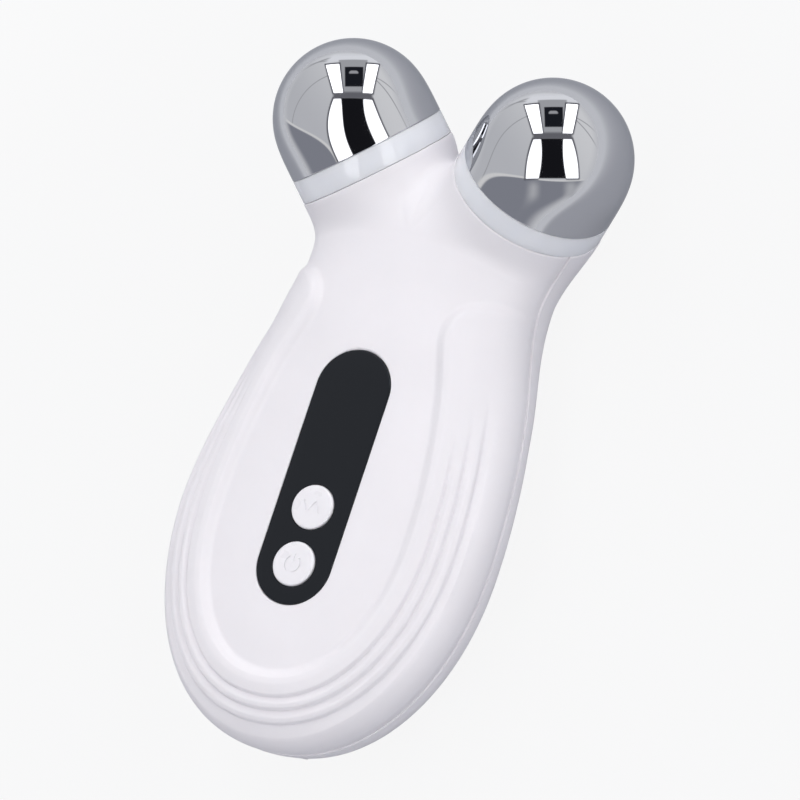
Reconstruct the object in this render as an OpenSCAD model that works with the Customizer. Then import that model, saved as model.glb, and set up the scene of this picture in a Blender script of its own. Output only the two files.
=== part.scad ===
// Facial toning device: a hand-held housing with two fixed chrome electrode domes.
// It lies on its back. X is its width, Y runs from the tail towards the domes, Z is up out of the panel.
// The origin is on the table, under the widest section of the housing.

/* [Housing] */
// Half width of the housing at the seam, at its widest section
half_w = 26.4; // [25.5:0.1:28]
// Length from the widest section to the tail end
tail_len = 34.8; // [33:0.2:38]
// Height of the control panel face over the table
panel_h = 24.5; // [24:0.1:26]
// Height of the seam over the table at the widest section
seam_h = 13.5; // [12.9:0.1:13.9]
// How far the seam dips towards the waist
seam_dip = 1.3; // [0.8:0.1:1.4]
// Distance from the widest section to the shoulder, where the sides narrow most
shoulder_y = 24; // [22:0.5:26]
// Half width at the shoulder
shoulder_w = 23.5; // [23:0.1:24.5]
// Distance from the widest section to the waist
waist_y = 40.5; // [39.5:0.25:41.5]
// Half width at the waist
waist_w = 19.7; // [19:0.1:20.5]
// Wall of the two shells
wall = 2.2; // [1.8:0.1:2.4]
// Roundness of the front cross-section, where 2 is an ellipse and more is boxier
front_round = 2.5; // [2.2:0.1:2.8]
// Roundness of the rear cross-section
rear_round = 2.1; // [2:0.1:2.5]

/* [Raised band and ribs] */
// Height of the raised U-shaped band over the recessed centre
band_h = 1.2; // [0.8:0.1:1.5]
// Distance from the seam outline to the foot of the band's inner step
band_w = 10.7; // [10.2:0.1:11.5]
// Width of the band's inner step
band_step = 1.1; // [0.8:0.1:1.4]
// Where the ends of the band start to hook outwards
hook_y = 32; // [30:0.5:33]
// Length of the hooks along the housing
hook_len = 5.4; // [4.5:0.1:5.8]
// Distance from the seam outline to the outermost rib
rib_first = 3.05; // [2.9:0.05:3.2]
// Distance from one rib to the next
rib_pitch = 1.8; // [1.7:0.05:1.9]
// Depth of each rib's step
rib_depth = 0.42; // [0.3:0.02:0.5]

/* [Heads] */
// Radius of the electrode domes and their skirts
dome_r = 12.5; // [12:0.1:12.6]
// Distance of each dome's centre from the middle plane
dome_x = 17.63; // [17.4:0.05:18.5]
// Distance of the dome centres from the widest section
dome_y = 61.97; // [61.5:0.1:63]
// Height of the dome centres over the table
dome_h = 19.74; // [19.4:0.1:20.2]
// Angle that each head splays out to its side
splay = 36.6; // [35:0.2:38]
// Angle that each head leans forward, out of the panel plane
lean = 31.4; // [30:0.2:33]
// Length of the dome's straight skirt
skirt_len = 4.4; // [4:0.1:5]
// Wall of the dome
dome_wall = 1.1; // [0.8:0.1:1.4]
// Visible height of the light ring
ring_h = 3.8; // [3.4:0.1:4.2]
// How far the housing's lip stands out round the light ring
lip_step = 0.08; // [0.04:0.02:0.12]

/* [Control panel] */
// Length of the panel
panel_len = 40.5; // [38:0.5:41]
// Width of the panel
panel_w = 12.62; // [12.2:0.02:13]
// Thickness of the panel
panel_t = 1.2; // [1:0.05:1.3]
// Distance of the panel's tail end from the widest section
panel_tail = 14.3; // [14:0.1:15]
// Radius of the two buttons
button_r = 3.46; // [3.2:0.02:3.6]
// Distance of the power button from the widest section
power_y = 8; // [7.8:0.05:8.2]
// Distance between the two button centres
button_gap = 9.04; // [8.95:0.01:9.3]
// How far the button caps stand over the panel
button_rise = 0.35; // [0.32:0.01:0.5]
// How far each button travels
button_travel = 0.3; // [0.2:0.02:0.32]

/* [Inside] */
// Width of the battery
battery_w = 21; // [18:0.5:22]
// Length of the battery
battery_len = 30; // [26:0.5:30]
// Thickness of the battery
battery_t = 6; // [5:0.1:6.4]
// Width of the main circuit board
board_w = 22; // [21:0.5:26]
// Distance from the widest section to the board's tail end
board_tail = 24; // [23.6:0.2:25]
// Distance from the widest section to the board's head end
board_head = 17; // [16.6:0.1:17.6]
// Thickness of the circuit boards
board_t = 1.6; // [1.2:0.1:1.7]
// Height of the two key switches
switch_h = 3.5; // [3.1:0.1:3.8]
// Radius of the wires
wire_r = 0.5; // [0.4:0.05:0.6]

/* [Hidden] */
$fn = 64;

// Colours
shell_white = [0.94, 0.935, 0.95];
panel_black = [0.16, 0.17, 0.19];
chrome = [0.75, 0.76, 0.78];
ring_blue = [0.82, 0.85, 0.9];
board_green = [0.1, 0.35, 0.2];
part_black = [0.12, 0.12, 0.13];
steel = [0.7, 0.71, 0.73];
foil_silver = [0.8, 0.8, 0.82];

// Clearances: a running fit, a seated fit and a loose one
run_fit = 0.06;
seat_fit = 0.05;
loose = 0.3;

// Head frame: ball is the dome's centre, and the head's own Z points out along head_axis
mouth_r = dome_r + lip_step;
head_axis = [sin(splay) * cos(lean), cos(splay) * cos(lean), sin(lean)];
head_side = [cos(splay), -sin(splay), 0];
head_up = cross(head_side, head_axis);
ball = [dome_x, dome_y, dome_h];
mouth_z = -(skirt_len + ring_h);
mouth = ball + head_axis * mouth_z;

// ---- small mathematics ----
function clamp(v, lo, hi) = min(max(v, lo), hi);
function smooth(v) = let(c = clamp(v, 0, 1)) c * c * (3 - 2 * c);
function mix(a, b, u) = a * (1 - u) + b * u;
function unit(v) = v / norm(v);
function tidy(v) = abs(v) < 1e-6 ? 0 : v;
// Cubic from a to b with end slopes ma and mb, both already times the step
function cubic(a, ma, b, mb, u) =
    a * (2 * u ^ 3 - 3 * u ^ 2 + 1) + ma * (u ^ 3 - 2 * u ^ 2 + u)
    + b * (3 * u ^ 2 - 2 * u ^ 3) + mb * (u ^ 3 - u ^ 2);
function cubic_slope(a, ma, b, mb, u) =
    (b - a) * (6 * u - 6 * u ^ 2) + ma * (3 * u ^ 2 - 4 * u + 1) + mb * (3 * u ^ 2 - 2 * u);

// ---- the outline at the seam ----
n_tail = 14;
tail_round = 2.1;
shoulder_slope = -0.235;
neck_flare = 0.04;
neck_y = waist_y + 2;
side_ys = [for (s = [0.1 : 0.1 : 0.96]) hook_y * s];
hook_ys = [for (w = [8, 24, 38, 50, 60]) hook_y + hook_len * sin(w)];
band_end = hook_y + hook_len * sin(60);
band_end_len = 1.2;
end_ys = [for (s = [0.25 : 0.25 : 1]) band_end + band_end_len * s];
neck_ys = [for (s = [1 / 3, 2 / 3, 1]) mix(band_end + band_end_len, neck_y, s)];

// Half width of the outline at y, and its slope
function side(y) =
    y < shoulder_y
        ? cubic(half_w, 0, shoulder_w, shoulder_slope * shoulder_y, y / shoulder_y)
        : y < waist_y
            ? cubic(shoulder_w, shoulder_slope * (waist_y - shoulder_y), waist_w, 0,
                    (y - shoulder_y) / (waist_y - shoulder_y))
            : waist_w + neck_flare * (y - waist_y) ^ 2;
function side_slope(y) =
    y < shoulder_y
        ? cubic_slope(half_w, 0, shoulder_w, shoulder_slope * shoulder_y, y / shoulder_y) / shoulder_y
        : y < waist_y
            ? cubic_slope(shoulder_w, shoulder_slope * (waist_y - shoulder_y), waist_w, 0,
                          (y - shoulder_y) / (waist_y - shoulder_y)) / (waist_y - shoulder_y)
            : 2 * neck_flare * (y - waist_y);
function seam_z(y) = seam_h - seam_dip * smooth(y / waist_y);

// A station is [point on the outline, inward direction, distance to the middle plane]
function tail_station(i) =
    let(a = 90 * (1 - i / n_tail),
        p = [tidy(half_w * cos(a) ^ (2 / tail_round)), -tail_len * sin(a) ^ (2 / tail_round)],
        q = [0, -(tail_len - half_w ^ 2 / tail_len) * sin(a)])
    [p, unit(q - p), norm(q - p)];
function side_station(y) =
    let(n = unit([-1, side_slope(y)]))
    [[side(y), y], n, side(y) / -n.x];
stations = concat([for (i = [0 : n_tail]) tail_station(i)],
                  [for (y = concat(side_ys, hook_ys, end_ys, neck_ys)) side_station(y)]);

// ---- rows across a station, as [inset from the outline, relief as a share of band_h] ----
side_heights = [0, 0.2, 0.38, 0.52];
side_relief = [0, 0.35, 0.72, 0.9];
rib_riser = 0.35;
inner_parts = [0.15, 0.32, 0.5, 0.67, 0.84, 1];
plain_parts = [0, 0.012, 0.045, 0.1, 0.18, 0.29, 0.44, 0.62, 0.8, 1];
function rib_fade(r, y) = smooth((22 - 4 * r - y) / 16);
// The band narrows along a quarter ellipse where it hooks outwards, then ends in a step across it
function hook(y) = y < hook_y ? 1 : sqrt(1 - (clamp(y - hook_y, 0, band_end - hook_y) / hook_len) ^ 2);
function band_hold(y) = 1 - smooth((y - band_end) / band_end_len);
function inset_of(h, len, round) = len * (1 - (1 - h ^ round) ^ (1 / round));
function relief_rows(y) = [
    for (r = [0 : 2]) let(d = rib_first + r * rib_pitch, cut = rib_depth * rib_fade(r, y))
        each [[d, 0.94 + 0.04 * r - cut], [d + rib_riser, 0.96 + 0.04 * r], [d + 1.05, 0.98 + 0.04 * r]],
    [8.4, 1.08], [band_w - band_step, 1], [band_w - 0.62 * band_step, 0.68],
    [band_w - 0.2 * band_step, 0.1], [band_w, 0]];
function band_rows(s) =
    let(y = s[0].y, len = s[2], w = hook(y), hold = band_hold(y),
        spread = smooth((y - band_end - band_end_len / 2) / (neck_y - band_end - band_end_len / 2)),
        low = [for (k = [0 : 3]) [inset_of(side_heights[k], len, front_round), side_relief[k] * hold]],
        edge = low[3][0],
        mid = [for (e = relief_rows(y)) [edge + (e[0] - edge) * w, e[1] * hold]],
        foot = mid[len(mid) - 1][0],
        all = concat(low, mid, [for (f = inner_parts) [mix(foot, len, f), 0]]),
        last = len(all) - 1)
    [for (k = [0 : last])
        let(even = mix(edge, len, (max(k - 3, 0) / (last - 3)) ^ 1.2))
        [k > 3 ? mix(all[k][0], even, spread) : all[k][0], all[k][1]]];
function plain_rows(s) = [for (f = plain_parts) [f * s[2], 0]];
function rows_of(s, up, depth) =
    up < 0 || depth > 0 ? plain_rows(s) : band_rows(s);

// ---- one point of the skin: a station, an inset and relief, up (1) or down (-1) from the seam ----
top_fall = 0.6;
rear_sink = 0.35;
rear_lift = 1.2;
rest_end = 36;
function skin_top(y, up, depth) =
    up > 0 ? panel_h - top_fall * smooth((y - 26) / 20) - depth
           : -rear_sink + rear_lift * smooth((y - rest_end) / 20) + depth;
function skin_point(s, row, up, depth) =
    let(p = s[0], n = s[1], len = s[2] - depth, d = row[0] * len / s[2],
        round = up > 0 ? front_round : rear_round,
        base = seam_z(p.y),
        rise = skin_top((p + n * s[2]).y, up, depth) - base,
        rho = clamp(1 - d / len, 0, 1),
        h = (1 - rho ^ round) ^ (1 / round),
        g = unit([rho ^ (round - 1) / len, h ^ (round - 1) / abs(rise)]),
        flat = p + n * (depth + d - row[1] * band_h * g.x),
        z = base + rise * h + up * row[1] * band_h * g.y)
    [tidy(flat.x), flat.y, max(z, up > 0 ? z : depth)];
function trunk(up, depth) =
    [for (s = stations) [for (row = rows_of(s, up, depth)) skin_point(s, row, up, depth)]];

// ---- the two necks ----
n_neck = 7;
n_fork = 6;
crotch_y = 59.6;
crotch_z = 15;
fork_turn = 118;
function run(pts, k) = k == 0 ? 0 : run(pts, k - 1) + norm(pts[k] - pts[k - 1]);
// The fork is the curve between the necks, from the middle of the face down to the crotch
function fork(root, depth) =
    let(f = root[len(root) - 1], c = [0, crotch_y - depth, crotch_z])
    [for (k = [1 : n_fork]) let(a = 90 * k / n_fork)
        [0, f.y + (c.y - f.y) * sin(a), c.z + (f.z - c.z) * cos(a)]];
// Inside, a neck ends in a wider socket with a flat floor, which takes the ring's spigot
rim_wall = 1.2;
spigot_len = 3.2;
socket_len = spigot_len + loose;
socket_r = mouth_r - rim_wall;
function mouth_point(turn, up, r, sink) =
    mouth - head_axis * sink + r * (cos(turn) * head_side + up * sin(turn) * head_up);
function neck(root, up, depth) =
    let(n = len(root) - 1,
        total = run(root, n),
        starts = concat(root, fork(root, depth)),
        slope = side_slope(neck_y) / side(neck_y),
        turns = concat([for (k = [0 : n]) fork_turn * run(root, k) / total],
                       [for (k = [1 : n_fork]) mix(fork_turn, 180, k / n_fork)]),
        lean_in = concat([for (k = [0 : n]) 0.5 * smooth((run(root, k) / total - 0.55) / 0.45)],
                         [for (k = [1 : n_fork]) 0.5 + 0.5 * smooth(k / 3)]),
        sinks = depth > 0 ? [socket_len, 0] : [],
        steps = n_neck - len(sinks))
    concat([for (u = [1 : steps])
        [for (k = [0 : len(starts) - 1])
            let(along = unit([slope * starts[k].x, 1, 0]),
                aim = unit(mix(along, [1, 0, 0], lean_in[k])),
                end = mouth_point(turns[k], up, mouth_r - depth, depth > 0 ? socket_len : 0),
                reach = norm(end - starts[k]))
            cubic(starts[k], aim * reach, end, head_axis * min(reach, 12) * 1.1, u / steps)]],
        [for (d = sinks) [for (turn = turns) mouth_point(turn, up, socket_r, d)]]);

// ---- a shell as one closed mesh ----
// A sheet is [points, last row]: the trunk's points, then the fork's, then the neck's loops
function sheet(up, depth) =
    let(t = trunk(up, depth), root = t[len(t) - 1])
    [concat([for (col = t) each col], fork(root, depth), [for (col = neck(root, up, depth)) each col]),
     len(root) - 1];
function root_id(rows, k) =
    let(last = len(stations) - 1)
    k <= rows ? last * (rows + 1) + k : (last + 1) * (rows + 1) + k - rows - 1;
function neck_id(rows, u, k) = u == 0 ? root_id(rows, k)
    : len(stations) * (rows + 1) + n_fork + (u - 1) * (rows + n_fork + 1) + k;
function quad(a, b, c, d, flip) = flip ? [[a, d, b], [b, d, c]] : [[a, b, d], [b, c, d]];
function sheet_faces(rows, from, flip) = concat(
    [for (i = [0 : len(stations) - 2]) for (j = [0 : rows - 1])
        each quad(from + i * (rows + 1) + j, from + (i + 1) * (rows + 1) + j,
                  from + (i + 1) * (rows + 1) + j + 1, from + i * (rows + 1) + j + 1, flip)],
    [for (u = [0 : n_neck - 1]) for (k = [0 : rows + n_fork - 1])
        each quad(from + neck_id(rows, u, k), from + neck_id(rows, u + 1, k),
                  from + neck_id(rows, u + 1, k + 1), from + neck_id(rows, u, k + 1), flip)]);
// The edges of a sheet along the seam, the crotch and the mouth
function seam_ids(rows, from) = concat([for (i = [0 : len(stations) - 1]) from + i * (rows + 1)],
    [for (u = [1 : n_neck]) from + neck_id(rows, u, 0)]);
function crotch_ids(rows, from) = [for (u = [0 : n_neck]) from + neck_id(rows, u, rows + n_fork)];
function mouth_ids(rows, from) = [for (k = [0 : rows + n_fork]) from + neck_id(rows, n_neck, k)];
function strip(a, b, flip) = [for (i = [0 : len(a) - 2]) each quad(a[i], b[i], b[i + 1], a[i + 1], flip)];
function backwards(l) = [for (i = [len(l) - 1 : -1 : 0]) l[i]];
function half_faces(ro, ri, from, n_out, flip) =
    let(mouth_face = concat(mouth_ids(ro, from), backwards(mouth_ids(ri, from + n_out))))
    concat(sheet_faces(ro, from, flip), sheet_faces(ri, from + n_out, !flip),
           strip(seam_ids(ro, from), seam_ids(ri, from + n_out), flip),
           strip(crotch_ids(ro, from), crotch_ids(ri, from + n_out), !flip),
           [flip ? mouth_face : backwards(mouth_face)]);
module shell(up) {
    out = sheet(up, 0);
    in = sheet(up, wall);
    right = concat(out[0], in[0]);
    left = [for (p = right) [-p.x, p.y, p.z]];
    faces = half_faces(out[1], in[1], 0, len(out[0]), up > 0);
    // The left half is the right half mirrored, and shares its points in the middle plane
    mirrored = [for (f = faces) [for (k = backwards(f)) right[k].x == 0 ? k : k + len(right)]];
    polyhedron(points = concat(right, left), faces = concat(faces, mirrored));
}

// ---- heights through the middle, from the panel down ----
recess_floor_t = 1;
recess_z = panel_h - panel_t;
roof_z = recess_z - recess_floor_t;
flange_t = 0.6;
flange_gap = 0.1;
flange_r = button_r + 0.8;
flange_play = 0.25;
stem_len = 0.7;
stem_r = 1.3;
plunger_out = 1.2;
plunger_r = 1.7;
plunger_len = 2.6;
switch_w = 6;
flange_z = roof_z - flange_gap - flange_t;
plunger_top = flange_z - stem_len;
board_top = plunger_top - plunger_out - switch_h;
board_z = board_top - board_t;
mode_y = -power_y + button_gap;
button_bore = button_r + run_fit;
panel_play = 0.06;

// ---- panel ----
panel_mid = panel_len / 2 - panel_tail;
module pill(w, l, t) {
    straight = l - w;
    translate([-w / 2, -straight / 2, 0]) cube([w, straight, t]);
    for (e = [-1, 1]) translate([0, e * straight / 2, 0]) cylinder(d = w, h = t);
}
module control_panel() {
    color(panel_black) difference() {
        translate([0, panel_mid, recess_z]) pill(panel_w, panel_len, panel_t);
        for (y = [-power_y, mode_y])
            translate([0, y, recess_z - 1]) cylinder(r = button_bore, h = panel_t + 2);
    }
}

// ---- buttons and their switches ----
module button(y) {
    color(shell_white) translate([0, y, 0]) {
        translate([0, 0, flange_z]) cylinder(r = flange_r, h = flange_t);
        translate([0, 0, flange_z]) cylinder(r = button_r, h = panel_h + button_rise - flange_z);
        translate([0, 0, plunger_top]) cylinder(r = stem_r, h = stem_len + 0.1);
    }
}
well_z = plunger_top - plunger_len - button_travel - 0.2;
module key_switch(y) {
    color(part_black) translate([0, y, 0]) difference() {
        translate([-switch_w / 2, -switch_w / 2, board_top]) cube([switch_w, switch_w, switch_h]);
        translate([0, 0, well_z]) cylinder(r = plunger_r + run_fit, h = switch_h + 2);
    }
}
module plunger(y) {
    color(shell_white) translate([0, y, plunger_top - plunger_len]) 
        cylinder(r = plunger_r, h = plunger_len);
}
module mode_button() button(mode_y);
module power_button() button(-power_y);
module mode_switch() key_switch(mode_y);
module power_switch() key_switch(-power_y);
module mode_switch_plunger() plunger(mode_y);
module power_switch_plunger() plunger(-power_y);

// ---- screws and bosses ----
board_screw_x = board_w / 2 - 2;
board_screw_ys = [-board_tail + 3.5, board_head - 3.5];
board_screws_at = [for (x = [-1, 1]) for (y = board_screw_ys) [x * board_screw_x, y]];
boss_r = 2.3;
boss_bite = 0.4;
screw_r = 0.95;
screw_play = 0.05;
screw_free = 0.15;
case_screw_len = 9;
board_screw_len = 4.4;
case_screw_x = 3.2;
case_boss_r = 2.9;
lead_room = 1.5;
battery_y = 2;
battery_end = battery_y + battery_len / 2;
case_screw_y = max(battery_end, board_head) + lead_room + case_boss_r;
case_split_z = 12.6;
head_r = 1.8;
head_t = 1.2;
head_play = 0.2;
case_head_z = roof_z - head_t - head_play;
module screw(length) {
    // The head lies under the origin, and the shank stands up from it
    translate([0, 0, -head_t]) cylinder(r = head_r, h = head_t);
    cylinder(r = screw_r, h = length);
}
module board_screws() {
    color(steel) for (p = board_screws_at) translate([p.x, p.y, board_z]) screw(board_screw_len);
}
module case_screws() {
    color(steel) for (s = [-1, 1]) translate([s * case_screw_x, case_screw_y, case_head_z])
        mirror([0, 0, 1]) screw(case_screw_len);
}

// ---- shells ----
tongue_ys = [2, 14, 26];
tongue_t = 1;
tongue_drop = 1;
tongue_rise = 4.2;
tongue_gap = 0.25;
module tongue(s, long) {
    // A locating tongue stands inside the wall and reaches down past the seam
    turn = atan2(s[1].y, s[1].x);
    translate([s[0].x, s[0].y, seam_z(s[0].y) - tongue_drop]) rotate([0, 0, turn])
        translate([wall + tongue_gap, -long / 2, 0]) cube([tongue_t, long, tongue_drop + tongue_rise]);
}
module on_head(side) {
    mirror([side < 0 ? 1 : 0, 0, 0]) translate(ball) rotate([lean - 90, 0, -splay]) children();
}
// The socket has flat sides, so the round spigot stands a little inside its corners
spigot_play = 0.42;
spigot_r = socket_r - spigot_play;
led_ys = [8, 11.5, 15];
led_hole_r = 1;
module front_shell() {
    color(shell_white) difference() {
        union() {
            shell(1);
            for (p = board_screws_at) translate([p.x, p.y, board_top])
                cylinder(r = boss_r, h = roof_z + boss_bite - board_top);
            for (s = [-1, 1]) translate([s * case_screw_x, case_screw_y, case_split_z])
                cylinder(r = case_boss_r, h = roof_z + boss_bite - case_split_z);
            for (m = [0, 1]) mirror([m, 0, 0]) for (y = tongue_ys) tongue(side_station(y), 6);
        }
        translate([0, panel_mid, recess_z])
            pill(panel_w + 2 * panel_play, panel_len + 2 * panel_play, panel_t + 2);
        for (y = [-power_y, mode_y]) translate([0, y, roof_z - 3]) {
            cylinder(r = button_bore, h = 6);
            cylinder(r = flange_r + flange_play, h = 3);
        }
        for (y = led_ys) translate([0, y, roof_z - 1]) cylinder(r = led_hole_r, h = 4);
        for (p = board_screws_at) translate([p.x, p.y, board_top - 1])
            cylinder(r = screw_r + screw_play, h = 5);
        for (s = [-1, 1]) translate([s * case_screw_x, case_screw_y, 0]) {
            translate([0, 0, case_head_z]) cylinder(r = head_r + head_play, h = 8);
            translate([0, 0, case_split_z - 1]) cylinder(r = screw_r + screw_free, h = 12);
        }
    }
}
port_z = 10.2;
port_w = 8.94;
port_t = 3.26;
port_len = 7.3;
port_y = -tail_len + 1;
tray_t = 1;
tray_top = 6;
floor_z = wall;
function tray_end_y(e) = battery_y + e * (battery_len / 2 + loose + tray_t / 2) - tray_t / 2;
pad_t = 1.2;
pad_w = 7;
battery_z = floor_z + pad_t;
module rounded_port(w, t, l) {
    // A flat-sided slot with round ends, lying along Y
    rotate([-90, 0, 0]) {
        translate([-(w - t) / 2, -t / 2, 0]) cube([w - t, t, l]);
        for (e = [-1, 1]) translate([e * (w - t) / 2, 0, 0]) cylinder(d = t, h = l);
    }
}
post_x = 3.4;
post_y = -tail_len + 11.5;
post_r = 1.6;
module rear_shell() {
    color(shell_white) difference() {
        union() {
            shell(-1);
            for (s = [-1, 1]) translate([s * case_screw_x, case_screw_y, floor_z - boss_bite])
                cylinder(r = case_boss_r, h = case_split_z - floor_z + boss_bite);
            for (s = [-1, 1]) translate([s * (battery_w / 2 + loose + tray_t / 2) - tray_t / 2,
                                         battery_y - battery_len / 3, floor_z - boss_bite])
                cube([tray_t, battery_len * 2 / 3, tray_top - floor_z + boss_bite]);
            for (e = [-1, 1]) translate([-battery_w / 4, tray_end_y(e), floor_z - boss_bite])
                cube([battery_w / 2, tray_t, tray_top - floor_z + boss_bite]);
            for (s = [-1, 1]) translate([s * post_x, post_y, floor_z - boss_bite])
                cylinder(r = post_r, h = charge_z - floor_z + boss_bite);
        }
        for (s = [-1, 1]) translate([s * case_screw_x, case_screw_y, case_split_z - 9])
            cylinder(r = screw_r + screw_play, h = 12);
        translate([0, port_y - 3, port_z]) rounded_port(port_w + loose, port_t + loose, 8);
    }
}

// ---- main board and what it carries ----
module main_board() {
    color(board_green) difference() {
        translate([-board_w / 2, -board_tail, board_z]) cube([board_w, board_tail + board_head, board_t]);
        for (p = board_screws_at) translate([p.x, p.y, board_z - 1])
            cylinder(r = screw_r + screw_free, h = 5);
    }
}
chip_w = 6;
chip_t = 1;
chip_y = 4.5 - board_tail;
module controller_chip() {
    color(part_black) translate([-chip_w / 2, chip_y, board_top]) cube([chip_w, chip_w, chip_t]);
}
coil_r = 3.6;
coil_t = 3.2;
coil_rim = 0.6;
coil_groove = 1;
coil_x = 5.5;
coil_y = -8;
module boost_inductor() {
    color(part_black) translate([coil_x, coil_y, board_z - coil_t]) difference() {
        cylinder(r = coil_r, h = coil_t);
        translate([0, 0, coil_rim]) difference() {
            cylinder(r = coil_r + 1, h = coil_t - 2 * coil_rim);
            cylinder(r = coil_r - coil_groove, h = coil_t - 2 * coil_rim);
        }
    }
}
can_r = 2.2;
can_len = 4.2;
can_x = 6;
can_y = -10;
can_pitch = 5.4;
module capacitors() {
    color(foil_silver) for (k = [0, 1]) translate([-can_x, can_y + k * can_pitch, board_z - can_len])
        cylinder(r = can_r, h = can_len);
}
socket_t = 3.4;
plug_len = 4;
head_plug_w = 8;
tail_plug_w = 6;
head_plug_back = 2;
tail_plug_back = 1;
module wire_sockets() {
    color(shell_white) {
        translate([-head_plug_w / 2, board_head - head_plug_back - plug_len, board_z - socket_t])
            cube([head_plug_w, plug_len, socket_t]);
        translate([-tail_plug_w / 2, -board_tail + tail_plug_back, board_z - socket_t])
            cube([tail_plug_w, plug_len, socket_t]);
    }
}
module indicator_leds() {
    color(ring_blue) for (y = led_ys) translate([-0.8, y - 0.5, board_top]) cube([1.6, 1, 0.7]);
}
module light_baffle() {
    color(part_black) difference() {
        translate([-3.4, led_ys[0] - 2.2, board_top + 0.05])
            cube([6.8, led_ys[2] - led_ys[0] + 3.9, roof_z - board_top - 0.15]);
        for (y = led_ys) translate([0, y, board_top - 1]) cylinder(r = 1.15, h = roof_z);
    }
}

// ---- battery and charging ----
module battery() {
    color(foil_silver) translate([-battery_w / 2, battery_y - battery_len / 2, battery_z])
        cube([battery_w, battery_len, battery_t]);
}
module battery_pad() {
    color(part_black) translate([-pad_w / 2, battery_y - battery_len * 0.4, floor_z])
        cube([pad_w, battery_len * 0.8, pad_t]);
}
charge_t = 1;
charge_w = 11;
charge_len = 10;
charge_z = port_z - port_t / 2 - charge_t;
charge_front = port_y + 4.4;
module charge_board() {
    color(board_green) translate([-charge_w / 2, charge_front, charge_z]) cube([charge_w, charge_len, charge_t]);
}
module usb_socket() {
    color(steel) translate([0, port_y, port_z]) difference() {
        rounded_port(port_w, port_t, port_len);
        translate([0, -1, 0]) rounded_port(port_w - 0.7, port_t - 0.7, port_len - 0.5);
    }
    color(part_black) translate([-3.3, port_y + 1, port_z - 0.35]) cube([6.6, port_len - 2, 0.7]);
}

// ---- wires: a tube swept along a smooth path through its points ----
function spline(p, n) =
    let(last = len(p) - 1)
    concat([for (i = [0 : last - 1]) for (k = [0 : n - 1])
        let(a = p[max(i - 1, 0)], b = p[i], c = p[i + 1], d = p[min(i + 2, last)])
        cubic(b, (c - a) / 2, c, (d - b) / 2, k / n)], [p[last]]);
module tube(path, r) {
    sides = 8;
    last = len(path) - 1;
    dirs = [for (i = [0 : last]) unit(path[min(i + 1, last)] - path[max(i - 1, 0)])];
    rings = [for (i = [0 : last])
        let(u = unit(cross(dirs[i], [0.31, 0.11, 0.94])), v = cross(dirs[i], u))
        for (k = [0 : sides - 1]) path[i] + r * (cos(360 * k / sides) * u + sin(360 * k / sides) * v)];
    polyhedron(points = rings, faces = concat(
        [[for (k = [0 : sides - 1]) k]],
        [for (i = [0 : last - 1]) for (k = [0 : sides - 1])
            let(a = i * sides + k, b = i * sides + (k + 1) % sides)
            each [[a, a + sides, b + sides], [a, b + sides, b]]],
        [[for (k = [sides - 1 : -1 : 0]) last * sides + k]]));
}
socket_face_y = board_head - head_plug_back;
wire_gap = 0.12;
socket_mid_z = board_z - socket_t / 2;
module electrode_wire(side) {
    path = [screw_tip, ball + head_axis * (mouth_z - 4),
            [11, 44, 11], [9, 34, 11.5], [8.2, 25, 12.4], [7.7, 19.5, 12.7],
            [5.2, socket_face_y + 2.1, socket_mid_z], [3, socket_face_y + 1.2, socket_mid_z],
            [3, socket_face_y + wire_gap, socket_mid_z]];
    color(side < 0 ? "firebrick" : part_black) mirror([side < 0 ? 1 : 0, 0, 0]) tube(spline(path, 3), wire_r);
}

// ---- the heads, drawn on the head's own Z ----
web_t = 2.2;
hub_r = 4.5;
hub_bore = 3;
hub_len = 6.2;
web_z = -skirt_len;
dome_boss_r = 3;
module dome(side) {
    inner = dome_r - dome_wall;
    color(chrome) on_head(side) difference() {
        union() {
            difference() {
                union() {
                    sphere(r = dome_r, $fn = 96);
                    translate([0, 0, -skirt_len]) cylinder(r = dome_r, h = skirt_len, $fn = 96);
                }
                translate([0, 0, -skirt_len - 2 * dome_r]) cylinder(r = 2 * dome_r, h = 2 * dome_r);
                sphere(r = inner, $fn = 96);
                translate([0, 0, -skirt_len - 1]) cylinder(r = inner, h = skirt_len + 1, $fn = 96);
            }
            translate([0, 0, web_z + web_t])
                cylinder(r = dome_boss_r, h = dome_r - 0.7 * dome_wall - web_z - web_t);
        }
        translate([0, 0, web_z + web_t - 1]) cylinder(r = screw_r + screw_play, h = 8);
    }
}
cup_wall = 1.2;
cup_bore = spigot_r - cup_wall;
module light_ring(side) {
    color(ring_blue) on_head(side) difference() {
        union() {
            translate([0, 0, mouth_z + seat_fit]) cylinder(r = dome_r, h = ring_h - seat_fit, $fn = 96);
            translate([0, 0, mouth_z - spigot_len]) cylinder(r = spigot_r, h = spigot_len + 1);
        }
        translate([0, 0, mouth_z - spigot_len - 1])
            cylinder(r = cup_bore, h = spigot_len + ring_h - cup_wall + 1);
        translate([0, 0, mouth_z]) cylinder(r = hub_r + seat_fit, h = ring_h + 1);
    }
}
clip_z = web_z - 5;
clip_t = 0.8;
clip_groove_r = hub_r - 0.6;
module head_core(side) {
    color(shell_white) on_head(side) difference() {
        union() {
            translate([0, 0, web_z]) cylinder(r = dome_r - dome_wall - seat_fit, h = web_t);
            translate([0, 0, web_z - hub_len]) cylinder(r = hub_r, h = hub_len + 1);
        }
        translate([0, 0, web_z - hub_len - 1]) cylinder(r = hub_bore, h = hub_len + 1);
        translate([0, 0, web_z - 1]) cylinder(r = screw_r + screw_free, h = web_t + 2);
        translate([0, 0, clip_z - seat_fit]) difference() {
            cylinder(r = hub_r + 1, h = clip_t + 2 * seat_fit);
            translate([0, 0, -1]) cylinder(r = clip_groove_r, h = clip_t + 3);
        }
    }
}
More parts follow.
